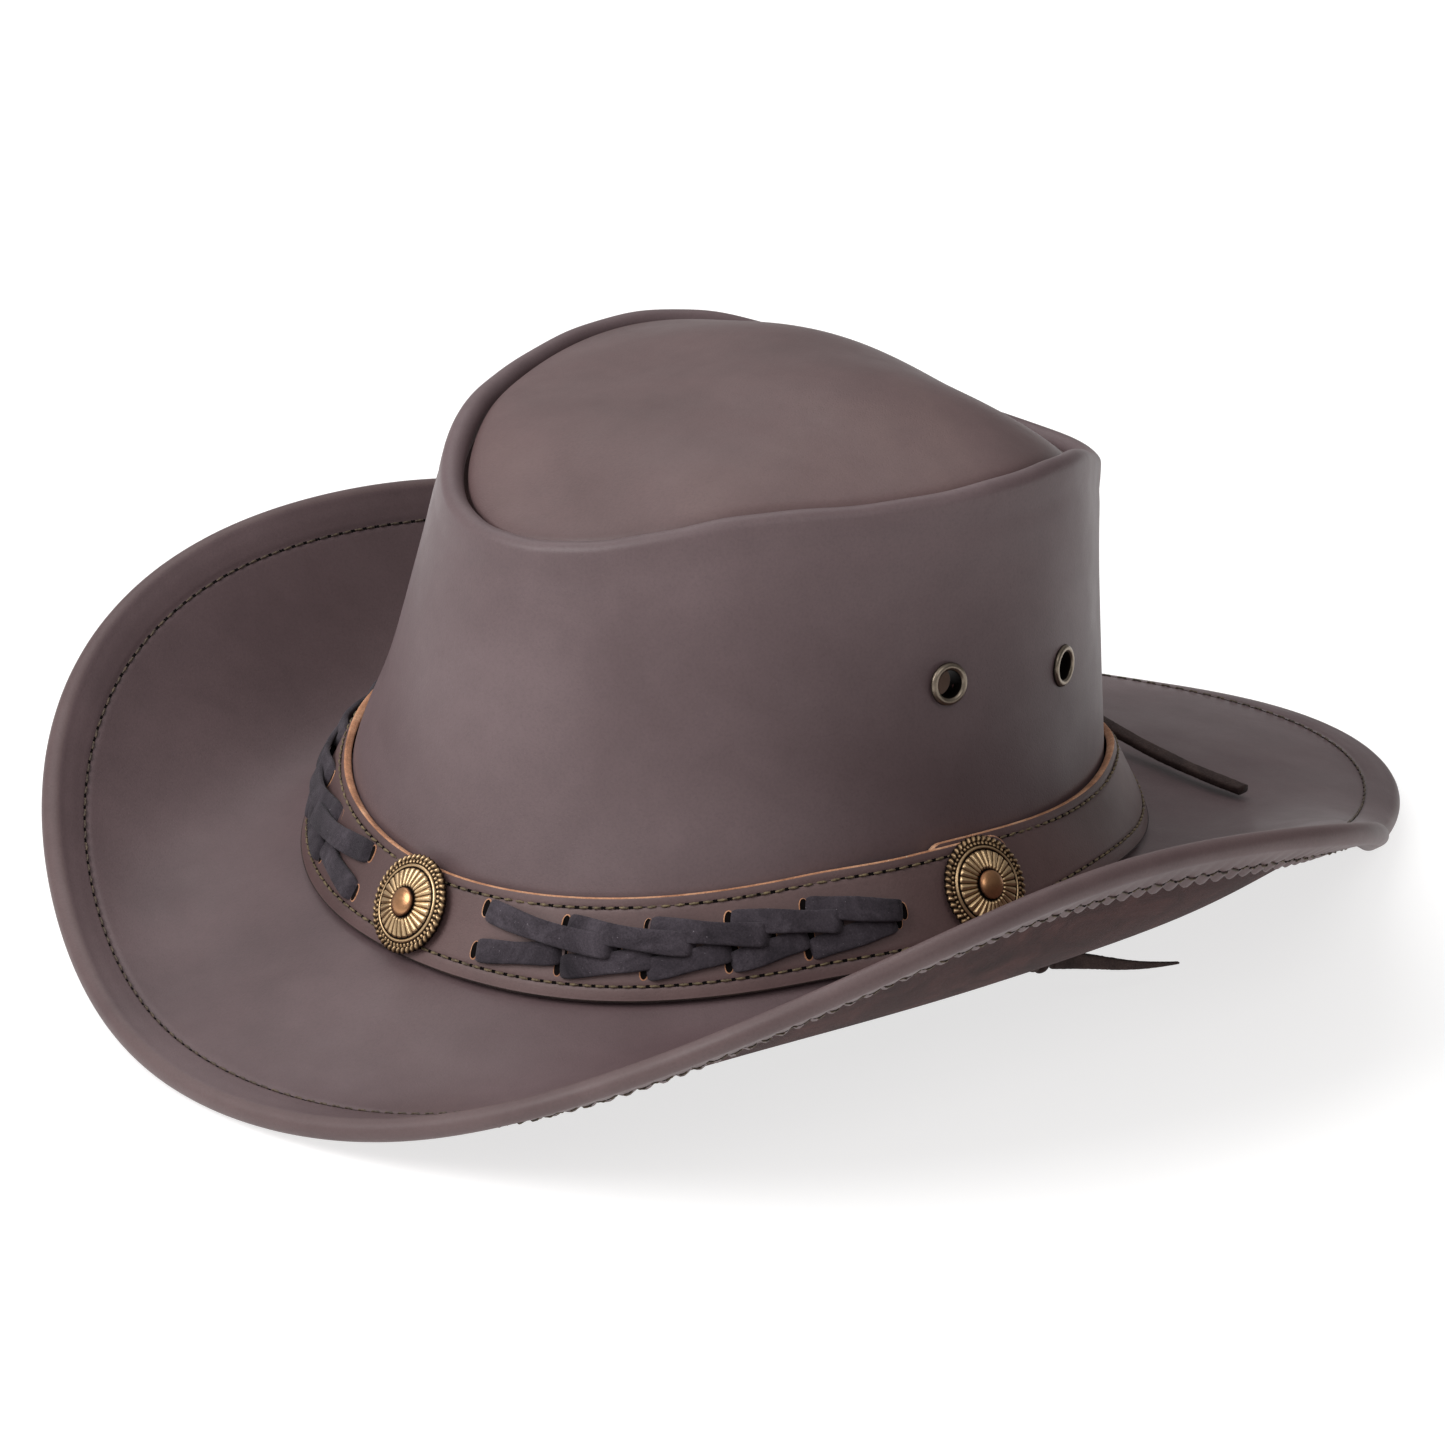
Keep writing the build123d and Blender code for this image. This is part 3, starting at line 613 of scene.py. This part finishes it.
    # Strips: brim top, outer hem, the hem's cut end in painted shadow, then the underside
    rows = np.repeat([0, 1, 2, 3], counts)
    grid = place(angle[:, None], outline[..., 0], outline[..., 1])
    piece = grid_piece("brim leather", grid, [brim_leather, hem_leather, hem_end_shadow, flesh_side], rows)
    own(piece, ROOT, "hat_leather", "brim")
    top_column = top_near.shape[1] + int(np.argmin(np.abs((1 - shares) * chord - BRIM_STITCH_INSET)))
    brim_stitches("brim top stitches", grid, top_column, 1)
    leg_start = top_near.shape[1] + top.shape[1] + fold.shape[1]
    leg_column = leg_start + int(np.argmin(np.abs(leg_shares * HEM_WIDTH - HEM_STITCH_INSET)))
    brim_stitches("brim hem stitches", grid, leg_column, -1)


# ---- crown ----
def dents(angle, share):
    """Slight hand-made unevenness of the wall, in millimetres, growing up the wall."""
    turn = np.radians(angle)
    waves = (0.35 * np.sin(3 * turn + 0.8) + 0.25 * np.sin(5 * turn + 2.1 + 2.0 * share)
             + 0.14 * np.sin(8 * turn + 0.4 - 3.0 * share))
    return waves * smooth_step(share, 0.1, 0.55) * (1 - smooth_step(share, 0.75, 0.97))


def build_crown():
    angle = ring_angles
    lip = LIP_INNER + LEATHER
    rim_height = around(CROWN_RISE, angle) - lip
    foot = pair(0, wall_foot(angle))
    rim = pair(wall_r(angle, rim_height), rim_height)
    up = unit(rim - foot)
    inward = left_normal(up)
    far_side = rim + inward * 2 * lip
    near_side = far_side - inward * LEATHER
    shares = np.linspace(0, 1, 96)
    wall = straight(foot, rim, shares)
    push = dents(angle[:, None], shares[None, :])
    from_rim = (1 - shares)[None, :] * np.linalg.norm(rim - foot, axis=1)[:, None]
    push = push - 0.22 * np.exp(-((from_rim - 6.5) / 2.6) ** 2)
    band_top = around(BAND_TOP, angle)[:, None]
    wall_z = wall[..., 1]
    gap = 0.8 + 0.1 * around(CROWN_LEAN, angle) - wall_r(angle, around(BAND_TOP, angle)) - 0.35
    push = push + np.clip(gap, 0, 3)[:, None] * np.exp(-(np.clip(wall_z - band_top, -30, 90) / 15) ** 2)
    seam = 0.35 * np.exp(-(((angle[:, None] - 180) * 1.7) / 0.8) ** 2)
    wall = wall - inward[:, None] * (push - seam)[..., None]
    turn = half_turn(rim, far_side, up, np.linspace(0, 1, 20)[1:])
    roll = 0.10 * np.sin(np.radians(angle) * 23 + 2 * np.sin(np.radians(angle) * 3))
    turn = turn + up[:, None] * roll[:, None, None] * np.sin(np.linspace(0, np.pi, 20)[1:])[None, :, None]
    leg = straight(far_side, far_side - up * LIP_DEPTH, [0.25, 0.5, 0.75, 1.0])
    back = straight(near_side - up * LIP_DEPTH, near_side, [0.0, 0.5, 1.0])
    inner_turn = half_turn(near_side, rim + inward * LEATHER, up, np.linspace(0, 1, 6)[1:])
    inside = straight(rim + inward * LEATHER, foot + inward * LEATHER, np.linspace(0, 1, 20)[1:])
    outline = np.concatenate([wall, turn, leg, back, inner_turn, inside], 1)
    outer = wall.shape[1] + turn.shape[1] + leg.shape[1]
    rows = np.where(np.arange(outline.shape[1]) < outer, 0, 1)
    grid = place(angle[:, None], outline[..., 0], outline[..., 1])
    holes = [(seat_matrix(wall_face, side * seat_angle, height), EYELET_HOLE_RADIUS)
             for side in (1, -1) for _, seat_angle, height in EYELET_SEATS]
    piece = grid_piece("crown leather", grid, [crown_leather, flesh_side], rows, holes=holes)
    own(piece, ROOT, "hat_leather", "crown_side")


def panel_edge(angle, growth):
    reach = around(CROWN_LEAN, angle) - PANEL_INSET + growth
    return place(angle, reach, around(CROWN_RISE, angle) - PANEL_DROP) / MM


def build_crown_top():
    edge = panel_edge(np.linspace(0, 360, 720, endpoint=False), 0.7)
    half_edge = panel_edge(np.linspace(0, 180, 361), 0.0)
    ridge = half_edge[:, 2] + PANEL_BULGE * half_edge[:, 0] ** 2
    shares = np.concatenate([np.linspace(0, 0.94, 60), np.linspace(0.95, 1, 12)])
    centre = np.array([0.0, 2.0])
    flat = centre + (edge[:, None, :2] - centre) * shares[None, :, None]
    z = np.interp(flat[..., 1], half_edge[:, 1], ridge) - PANEL_BULGE * flat[..., 0] ** 2
    x, y = flat[..., 0], flat[..., 1]
    unevenness = 0.9 * np.sin(x / 17 + 0.6) * np.cos(y / 21 + 0.5) + 0.45 * np.sin(x / 9 - y / 13)
    z = z + unevenness * (1 - shares ** 6)
    distance = np.linalg.norm(edge[:, None, :2] - flat, axis=-1)
    z = z - 1.3 * np.exp(-(distance / 1.1))
    lower = np.stack([flat[:, -1, 0], flat[:, -1, 1], z[:, -1] - 1.6], -1)
    upper = np.concatenate([flat, z[..., None]], -1)
    under = upper[:, ::-6][:, 1:] - np.array([0, 0, LEATHER])
    grid = np.concatenate([upper, lower[:, None], under], 1) * MM
    rows = np.where(np.arange(grid.shape[1]) <= upper.shape[1], 0, 1)
    piece = grid_piece("crown top leather", grid, [top_leather, flesh_side], rows, closed_v=False)
    own(piece, ROOT, "hat_leather", "crown_top")


# ---- hatband ----
def build_strap(name, node, first, last, lap):
    count = int(abs(last - first) / 0.3)
    angle = np.linspace(first, last, count)
    foot, up, length = strap_line(angle, lap(angle))
    inward = left_normal(up)
    run = run_along(strap_face(angle, STRAP_MIDDLE, 0.0, lap)) / MM
    corner = 5.0
    depth = np.clip(corner - np.minimum(run, run[-1] - run), 0, corner)
    trim = corner - np.sqrt(corner ** 2 - depth ** 2)
    bevel = 0.45
    shares = np.linspace(0, 1, 60)
    low, high = trim + bevel, length - trim - bevel
    heights = low[:, None] + (high - low)[:, None] * shares[None, :]
    upper_row, lower_row = length - STRAP_ROW_FROM_TOP, STRAP_ROW_FROM_FOOT + 0 * length
    groove = 0.22 * sum(np.exp(-((heights - row[:, None]) / 0.6) ** 2) for row in (upper_row, lower_row))
    pillow = 0.18 * np.sin(np.pi * shares)[None, :] - 0.25 * np.exp(-(heights - low[:, None]) / 0.8) * 0.6
    wave = 0.12 * np.sin(run[:, None] / 6.5 + 0.12 * heights) * smooth_step(shares, 0.0, 1.0)[None, :]
    proud = pillow - groove + wave
    face = foot[:, None] + up[:, None] * heights[..., None] - inward[:, None] * proud[..., None]
    top = length - trim
    edge_top = np.stack([foot + up * (top[:, None] - 0.12) + inward * 0.12,
                         foot + up * top[:, None] + inward * 0.55,
                         foot + up * top[:, None] + inward * 1.45,
                         foot + up * (top[:, None] - 0.12) + inward * (LEATHER - 0.1)], 1)
    back = foot[:, None] + up[:, None] * heights[:, ::-12, None] + inward[:, None] * LEATHER
    edge_foot = np.stack([foot + up * (trim[:, None] + 0.12) + inward * (LEATHER - 0.1),
                          foot + up * trim[:, None] + inward * 1.4,
                          foot + up * trim[:, None] + inward * 0.5,
                          foot + up * (trim[:, None] + 0.15) + inward * 0.08], 1)
    outline = np.concatenate([face, edge_top, back, edge_foot], 1)
    # Strips: face, top edge, back, then the foot edge in painted shade
    rows = np.repeat([0, 1, 3, 2], [59, 5, 5, outline.shape[1] - 69])
    grid = place(angle[:, None], outline[..., 0], outline[..., 1])
    piece = grid_piece(name, grid, [strap_leather, raw_edge, strap_foot_shade, flesh_side], rows,
                       closed_u=False, caps=True)
    own(piece, ROOT, "band_leather", node)
    inset = 2.5
    inside = (run > inset) & (run < run[-1] - inset)
    for row, level in (("upper", upper_row), ("lower", lower_row)):
        points = strap_face(angle, level, -0.1, lap)[inside]
        raised = strap_face(angle, level, 1.0, lap)[inside]
        stitch_row(f"{name} {row} stitches", points, raised - points, STRAP_STITCH_PITCH, "band_leather",
                   thread, 0.29, 0.76)


# ---- lacing ----
def lace_strips():
    for side_name, side in (("left", 1), ("right", -1)):
        for start, upper_end, lower_end in zip(LACE_STARTS, UPPER_LACE_ENDS, LOWER_LACE_ENDS):
            yield "lower", side_name, side * start, 7.6, side * lower_end, 11.0
            yield "upper", side_name, side * start, 18.0, side * upper_end, 12.8


def build_laces():
    points_of, faces_of = {}, {}
    slot_points, slot_faces, rim_points, rim_faces = [], [], [], []
    turn = np.linspace(0, 2 * np.pi, 24, endpoint=False)
    half_width, half_thickness = 2.85, 0.75
    section = np.stack([half_width * squared(np.cos(turn), 0.35),
                        half_thickness * squared(np.sin(turn), 0.45)], -1)
    for row, side_name, a0, h0, a1, h1 in lace_strips():
        count = 40
        share = np.linspace(0, 1, count)
        angle = a0 + (a1 - a0) * share
        height = h0 + (h1 - h0) * share
        base = 0.75 if row == "lower" else 0.75 + 1.55 * smooth_step(share, 0.10, 0.42)
        length = np.linalg.norm(strap_face(a1, h1) - strap_face(a0, h0)) / MM
        near_end = np.minimum(share, 1 - share) * length
        sink = (1.9 + (base - 0.75)) * (1 - smooth_step(near_end, -0.4, 2.2))
        bow = 0.22 * np.sin(np.pi * share)
        lift = base + bow - sink
        spots = strap_face(angle, height, lift)
        way = unit(np.gradient(spots, axis=0))
        across = unit(np.cross(strap_face(angle, height, lift + 1.0) - spots, way))
        up = np.cross(way, across)
        end_share = np.clip(near_end / 3.0, 0, 1)
        ends = 0.52 + 0.48 * np.sqrt(end_share * (2 - end_share))
        wide = ends * (1 + 0.05 * np.sin(share * 9 + a0) + RANDOM.normal(0, 0.006, count))
        ring = (spots[:, None] + across[:, None] * (section[None, :, 0] * wide[:, None] * MM)[..., None]
                + up[:, None] * (section[None, :, 1] * MM)[..., None])
        key = f"lace_{row}_{side_name}"
        points = points_of.setdefault(key, [])
        faces = faces_of.setdefault(key, [])
        base_index = sum(len(p) for p in points)
        points.append(ring.reshape(-1, 3))
        faces += (base_index + tube_faces(count, 24)).tolist()
        faces += [[base_index + k for k in range(24)],
                  [base_index + (count - 1) * 24 + k for k in reversed(range(24))]]
        for end_angle, end_height, outward in ((a0, h0, -1), (a1, h1, 1)):
            seat = strap_face(end_angle, end_height)
            x = strap_face(end_angle + 0.5, end_height) - strap_face(end_angle - 0.5, end_height)
            x = unit(x) * np.sign(a1 - a0)
            y = unit(strap_face(end_angle, end_height + 0.5) - strap_face(end_angle, end_height - 0.5))
            z = np.cross(x, y)
            z = z * np.sign(z @ (strap_face(end_angle, end_height, 1.0) - seat))
            middle = seat + x * outward * 0.25 * MM
            oval = np.stack([0.95 * np.cos(turn), 2.1 * squared(np.sin(turn), 0.8)], -1)
            long_way, short_way = y[None] * oval[:, 1:], x[None] * oval[:, :1]
            slot = middle + z * 0.19 * MM + (short_way + long_way) * MM
            slot_faces.append([len(slot_points) * 24 + k for k in range(24)])
            slot_points.append(slot)
            inner = middle + z * 0.22 * MM + (short_way + long_way) * MM
            outer = middle + z * 0.10 * MM + (short_way * 1.35 + long_way * 1.14) * MM
            start = len(rim_points) * 48
            rim_points.append(np.concatenate([inner, outer]))
            rim_faces += [[start + k, start + (k + 1) % 24, start + 24 + (k + 1) % 24, start + 24 + k]
                          for k in range(24)]
    for key, points in points_of.items():
        piece = make_mesh(key.replace("_", " "), np.concatenate(points), faces_of[key], [lace_suede])
        own(piece, ROOT, "black_lace", key)
    slots = make_mesh("lace slots", np.concatenate(slot_points), slot_faces, [hole])
    own(slots, ROOT, "band_leather")
    slot_edges = make_mesh("lace slot edges", np.concatenate(rim_points), rim_faces, [raw_edge])
    own(slot_edges, ROOT, "band_leather")


# ---- metal fittings ----
def turned_piece(name, profile, count, matrix, look, shape):
    """Surface of revolution about z from (radius, height) in mm; shape adds the relief."""
    profile = np.asarray(profile, float)
    turn = np.linspace(0, 2 * np.pi, count, endpoint=False)[:, None]
    radius, height = profile[None, :, 0] + 0 * turn, profile[None, :, 1] + 0 * turn
    radius, height, relief = shape(turn, radius, height)
    points = np.stack([radius * np.cos(turn), radius * np.sin(turn), height], -1) * MM
    rotation = np.array(matrix.to_3x3())
    points = points @ rotation.T + np.array(matrix.translation)
    return grid_piece(name, points, [look], closed_v=False, relief=relief)


def hump(radius, centre, half):
    """A round-topped ridge, 1 at its centre and 0 at half a width away."""
    return np.sqrt(np.clip(1 - ((radius - centre) / half) ** 2, 0, 1))


def concho_shape(turn, radius, height):
    front = smooth_step(height, 0.9, 1.3)
    rope = 0.5 + 0.5 * np.cos(46 * turn + 2.2 * (radius - 11.4))
    beads = hump(radius, 10.35, 0.5) * np.sqrt(np.clip(np.cos(27 * turn) ** 2, 0, 1)) ** 0.8
    ring = hump(radius, 9.35, 0.42)
    window = smooth_step(radius, 3.5, 4.6) * (1 - smooth_step(radius, 8.2, 8.8))
    flute = np.abs(np.cos(14 * turn)) ** 0.6 * window
    rim = hump(radius, 11.5, 0.8)
    base = 1.3 + 2.5 * (1 - (radius / CONCHO_RADIUS) ** 2)
    lift = rim * (0.5 + 0.5 * rope) * 0.9 + beads * 0.5 + ring * 0.45 + flute * 0.6
    raised = np.maximum.reduce([0.62 * rim * (0.3 + 0.7 * rope), 0.6 * beads, 0.7 * ring, flute])
    relief = np.clip(0.10 + 0.85 * raised, 0, 1)
    height = height * (1 - front) + front * (base + lift)
    scallop = 1 + 0.014 * np.cos(46 * turn) * smooth_step(radius, 11.3, 12.0)
    return radius * scallop, height, relief * front + 0.2 * (1 - front)


def button_shape(turn, radius, height):
    worn = 0.75 - 0.6 * smooth_step(radius, 2.9, 3.6) + 0.05 * np.cos(3 * turn)
    return radius, height, worn


CONCHOS = {"front": (0.0, 3.9), "left": (SIDE_CONCHO_ANGLE, 6.6), "right": (-SIDE_CONCHO_ANGLE, 6.6)}


def build_conchos():
    for where, (angle, depth) in CONCHOS.items():
        seat = seat_matrix(strap_face, angle, CONCHO_HEIGHT)
        radii = np.concatenate([[1.55], np.arange(2.0, CONCHO_RADIUS + 0.01, 0.12)])
        face = [(r, 2.0) for r in radii] + [(12.1, 1.2), (11.8, 0.75), (9.0, 0.7), (1.55, 0.7)]
        disc = turned_piece(f"concho {where}", face, 460, seat, brass, concho_shape)
        own(disc, f"concho_{where}", "antique_brass", f"concho_disc_{where}")
        dome = [(3.55 * np.sin(a), 4.1 + 1.25 * np.cos(a)) for a in np.linspace(0, np.pi / 2, 18)]
        post = [(3.45, 3.85), (1.5, 3.8), (1.5, 0.5 - depth), (2.4, 0.4 - depth), (2.2, -depth), (0, -depth)]
        head = turned_piece(f"concho button {where}", dome + post, 72, seat, copper, button_shape)
        own(head, ROOT, "copper_rivet", f"concho_button_{where}")


def eyelet_shape(turn, radius, height):
    # Everything below height 0.1, chiefly the barrel down the hole, gets the darkest value: painted shade
    relief = 0.05 + 0.9 * hump(radius, 4.3, 0.95) * (height > 0.1)
    return radius, height, relief


def build_eyelets():
    for side_name, side in (("left", 1), ("right", -1)):
        for where, angle, height in EYELET_SEATS:
            seat = seat_matrix(wall_face, side * angle, height)
            arc = [(4.25 + 0.98 * np.cos(a), 0.35 + 1.0 * np.sin(a)) for a in np.linspace(0, np.pi, 16)]
            profile = arc + [(3.25, -0.6), (3.25, -3.6), (3.6, -4.3), (4.7, -4.3), (4.8, -4.0), (4.0, -3.8),
                             (4.0, 0.2), (5.1, 0.2)]
            ring = turned_piece(f"eyelet {side_name} {where}", profile, 96, seat, nickel, eyelet_shape)
            own(ring, ROOT, "antique_nickel", f"eyelet_{side_name}_{where}")


# ---- thongs ----
def thong_curve(name, route):
    """Points in metres along the smooth curve that a route pulls."""
    data = bpy.data.curves.new(name, "CURVE")
    data.dimensions = "3D"
    spline = data.splines.new("NURBS")
    spline.points.add(len(route) - 1)
    for point, spot in zip(spline.points, route):
        point.co = (*(c * MM for c in spot), 1)
    spline.order_u = 3
    spline.use_endpoint_u = True
    spline.resolution_u = 10
    curve = bpy.data.objects.new(name, data)
    bpy.context.scene.collection.objects.link(curve)
    mesh = curve.to_mesh()
    path = np.array([list(v.co) for v in mesh.vertices])
    curve.to_mesh_clear()
    bpy.data.objects.remove(curve)
    return path


def build_thong(node, route, width, thickness, taper=0.0):
    path = thong_curve(node + " line", route)
    run = run_along(path)
    fine = np.linspace(0, run[-1], 70)
    spots = sample(path, run, fine)
    way = unit(np.gradient(spots, axis=0))
    across = unit(np.cross(way, np.array([0, 0, 1.0])))
    up = np.cross(across, way)
    turn = np.linspace(0, 2 * np.pi, 20, endpoint=False)
    share = fine / run[-1]
    wide = width / 2 * (1 - 0.6 * taper * share) * (1 + 0.05 * np.sin(share * 17))
    thick = thickness / 2 * (1 - taper * share)
    shape_x, shape_y = squared(np.cos(turn), 0.45), squared(np.sin(turn), 0.5)
    rough = 1 + RANDOM.normal(0, 0.02, (70, 20))
    ring = (spots[:, None] + across[:, None] * (wide[:, None] * shape_x[None] * rough * MM)[..., None]
            + up[:, None] * (thick[:, None] * shape_y[None] * rough * MM)[..., None])
    piece = grid_piece(node.replace("_", " "), ring, [thong_suede], closed_u=False, caps=True)
    own(piece, ROOT, "thong_leather", node)


def build_knot(node, centre, size, tilt):
    """A thong tied round on itself: a trefoil of flat strip."""
    turn = np.linspace(0, 2 * np.pi, 160, endpoint=False)
    line = np.stack([np.sin(turn) + 2 * np.sin(2 * turn), np.cos(turn) - 2 * np.cos(2 * turn),
                     -1.3 * np.sin(3 * turn)], -1) * size / 3.6
    line = line @ np.array(Matrix.Rotation(tilt[0], 3, "X") @ Matrix.Rotation(tilt[1], 3, "Y")).T
    way = unit(np.roll(line, -1, 0) - np.roll(line, 1, 0))
    across = unit(np.cross(unit(line), way))
    out = np.cross(way, across)
    ring_turn = np.linspace(0, 2 * np.pi, 14, endpoint=False)
    x, y = 1.6 * squared(np.cos(ring_turn), 0.6), squared(np.sin(ring_turn), 0.7)
    grid = (line[:, None] + across[:, None] * x[None, :, None] + out[:, None] * y[None, :, None])
    grid = (grid + np.array(centre)) * MM
    piece = grid_piece(node.replace("_", " "), grid, [thong_suede])
    own(piece, ROOT, "thong_leather", node)


# ---- plain CAD nodes that keep their own mesh ----
def dress(node, look):
    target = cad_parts[node]
    target.data.materials.clear()
    target.data.materials.append(look)


build_brim()
build_crown()
build_crown_top()
build_strap("hatband front", "hatband_front", -FRONT_STRAP_END, FRONT_STRAP_END, front_lap)
build_strap("hatband rear left", "hatband_rear_left", REAR_STRAP_START, REAR_STRAP_END, no_lap)
build_strap("hatband rear right", "hatband_rear_right", -REAR_STRAP_END, -REAR_STRAP_START, no_lap)
build_laces()
build_conchos()
build_eyelets()
build_thong("tie_tail_left", TIE_LEFT, THONG_WIDTH, THONG_THICKNESS)
build_thong("tie_tail_right", [(-x, y, z) for x, y, z in TIE_LEFT], THONG_WIDTH, THONG_THICKNESS)
build_thong("brim_thong_tail", BRIM_TAIL, THONG_THICKNESS, BRIM_TAIL_WIDTH, 0.88)
build_knot("tie_knot", TIE_KNOT_CENTRE, 3.4, (0.6, 0.3))
build_knot("brim_thong_knot", BRIM_KNOT_CENTRE, 3.0, (0.2, 1.1))
dress("sweatband", lining)
dress("crown_seam_tape", tape_cloth)
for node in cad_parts:
    if "washer" in node:
        dress(node, nickel)

# ---- stage, lights and camera ----
AZIMUTH, ELEVATION, ROLL = radians(50.647), radians(21.791), radians(-0.323)
back = Vector((sin(AZIMUTH) * cos(ELEVATION), -cos(AZIMUTH) * cos(ELEVATION), sin(ELEVATION)))
level = Vector((cos(AZIMUTH), sin(AZIMUTH), 0))
upright = level.cross(-back)
right = level * cos(ROLL) + upright * sin(ROLL)
upward = -level * sin(ROLL) + upright * cos(ROLL)

floor_look = Look("pale floor", 0.85)
floor_look.finish(floor_look.ramp(floor_look.noise(400, 3), (0.3, (176, 175, 174)), (0.7, (182, 181, 180))))
floor_look.shader.inputs["Emission Color"].default_value = (1, 1, 1, 1)
floor_look.shader.inputs["Emission Strength"].default_value = 0.72
half_floor, below = 14.0, -0.2 * MM
corners = [(x * half_floor, y * half_floor, below) for x, y in ((-1, -1), (1, -1), (1, 1), (-1, 1))]
floor = make_mesh("floor", corners, [[0, 1, 2, 3]], [floor_look.material])

world = bpy.data.worlds.new("studio")
bpy.context.scene.world = world
world.use_nodes = True
sky = world.node_tree
facing = sky.nodes.new("ShaderNodeVectorMath")
facing.operation = "DOT_PRODUCT"
facing.inputs[1].default_value = -right * 0.9 + Vector((0, 0, 0.45))
sky.links.new(sky.nodes.new("ShaderNodeTexCoord").outputs["Generated"], facing.inputs[0])
sky_ramp = sky.nodes.new("ShaderNodeMapRange")
for socket, value in (("From Min", -0.9), ("From Max", 0.9), ("To Min", 0.10), ("To Max", 0.62)):
    sky_ramp.inputs[socket].default_value = value
sky.links.new(facing.outputs["Value"], sky_ramp.inputs["Value"])
sky.links.new(sky_ramp.outputs["Result"], sky.nodes["Background"].inputs["Strength"])
sky.nodes["Background"].inputs["Color"].default_value = (1.0, 0.985, 0.98, 1)


def soft_light(name, direction, distance, width, power):
    data = bpy.data.lights.new(name, "AREA")
    data.shape = "DISK"
    data.size = width
    data.energy = power
    lamp = bpy.data.objects.new(name, data)
    bpy.context.scene.collection.objects.link(lamp)
    direction = Vector(direction).normalized()
    lamp.location = Vector((0, 0, 0.07)) + direction * distance
    lamp.rotation_euler = direction.to_track_quat("Z", "Y").to_euler()


soft_light("key", -right * 1.0 + upward * 0.7 + back * 0.8, 1.5, 1.0, 14)
soft_light("top", upward * 1.0 - back * 0.1 - right * 0.2, 1.6, 1.4, 7)
soft_light("fill", right * 0.4 + upward * 0.45 + back * 1.0, 2.2, 1.0, 6)

camera_data = bpy.data.cameras.new("camera")
camera_data.lens = 303.0
camera_data.sensor_width = 36.0
camera_data.clip_end = 60.0
camera = bpy.data.objects.new("camera", camera_data)
bpy.context.scene.collection.objects.link(camera)
camera.matrix_world = Matrix((right, upward, back)).transposed().to_4x4()
camera.location = (back * 3000.0 - right * 12.383 + upward * 47.834 + Vector((0, -2, 1.3))) * MM
bpy.context.scene.camera = camera
bpy.context.scene.view_settings.view_transform = "Standard"
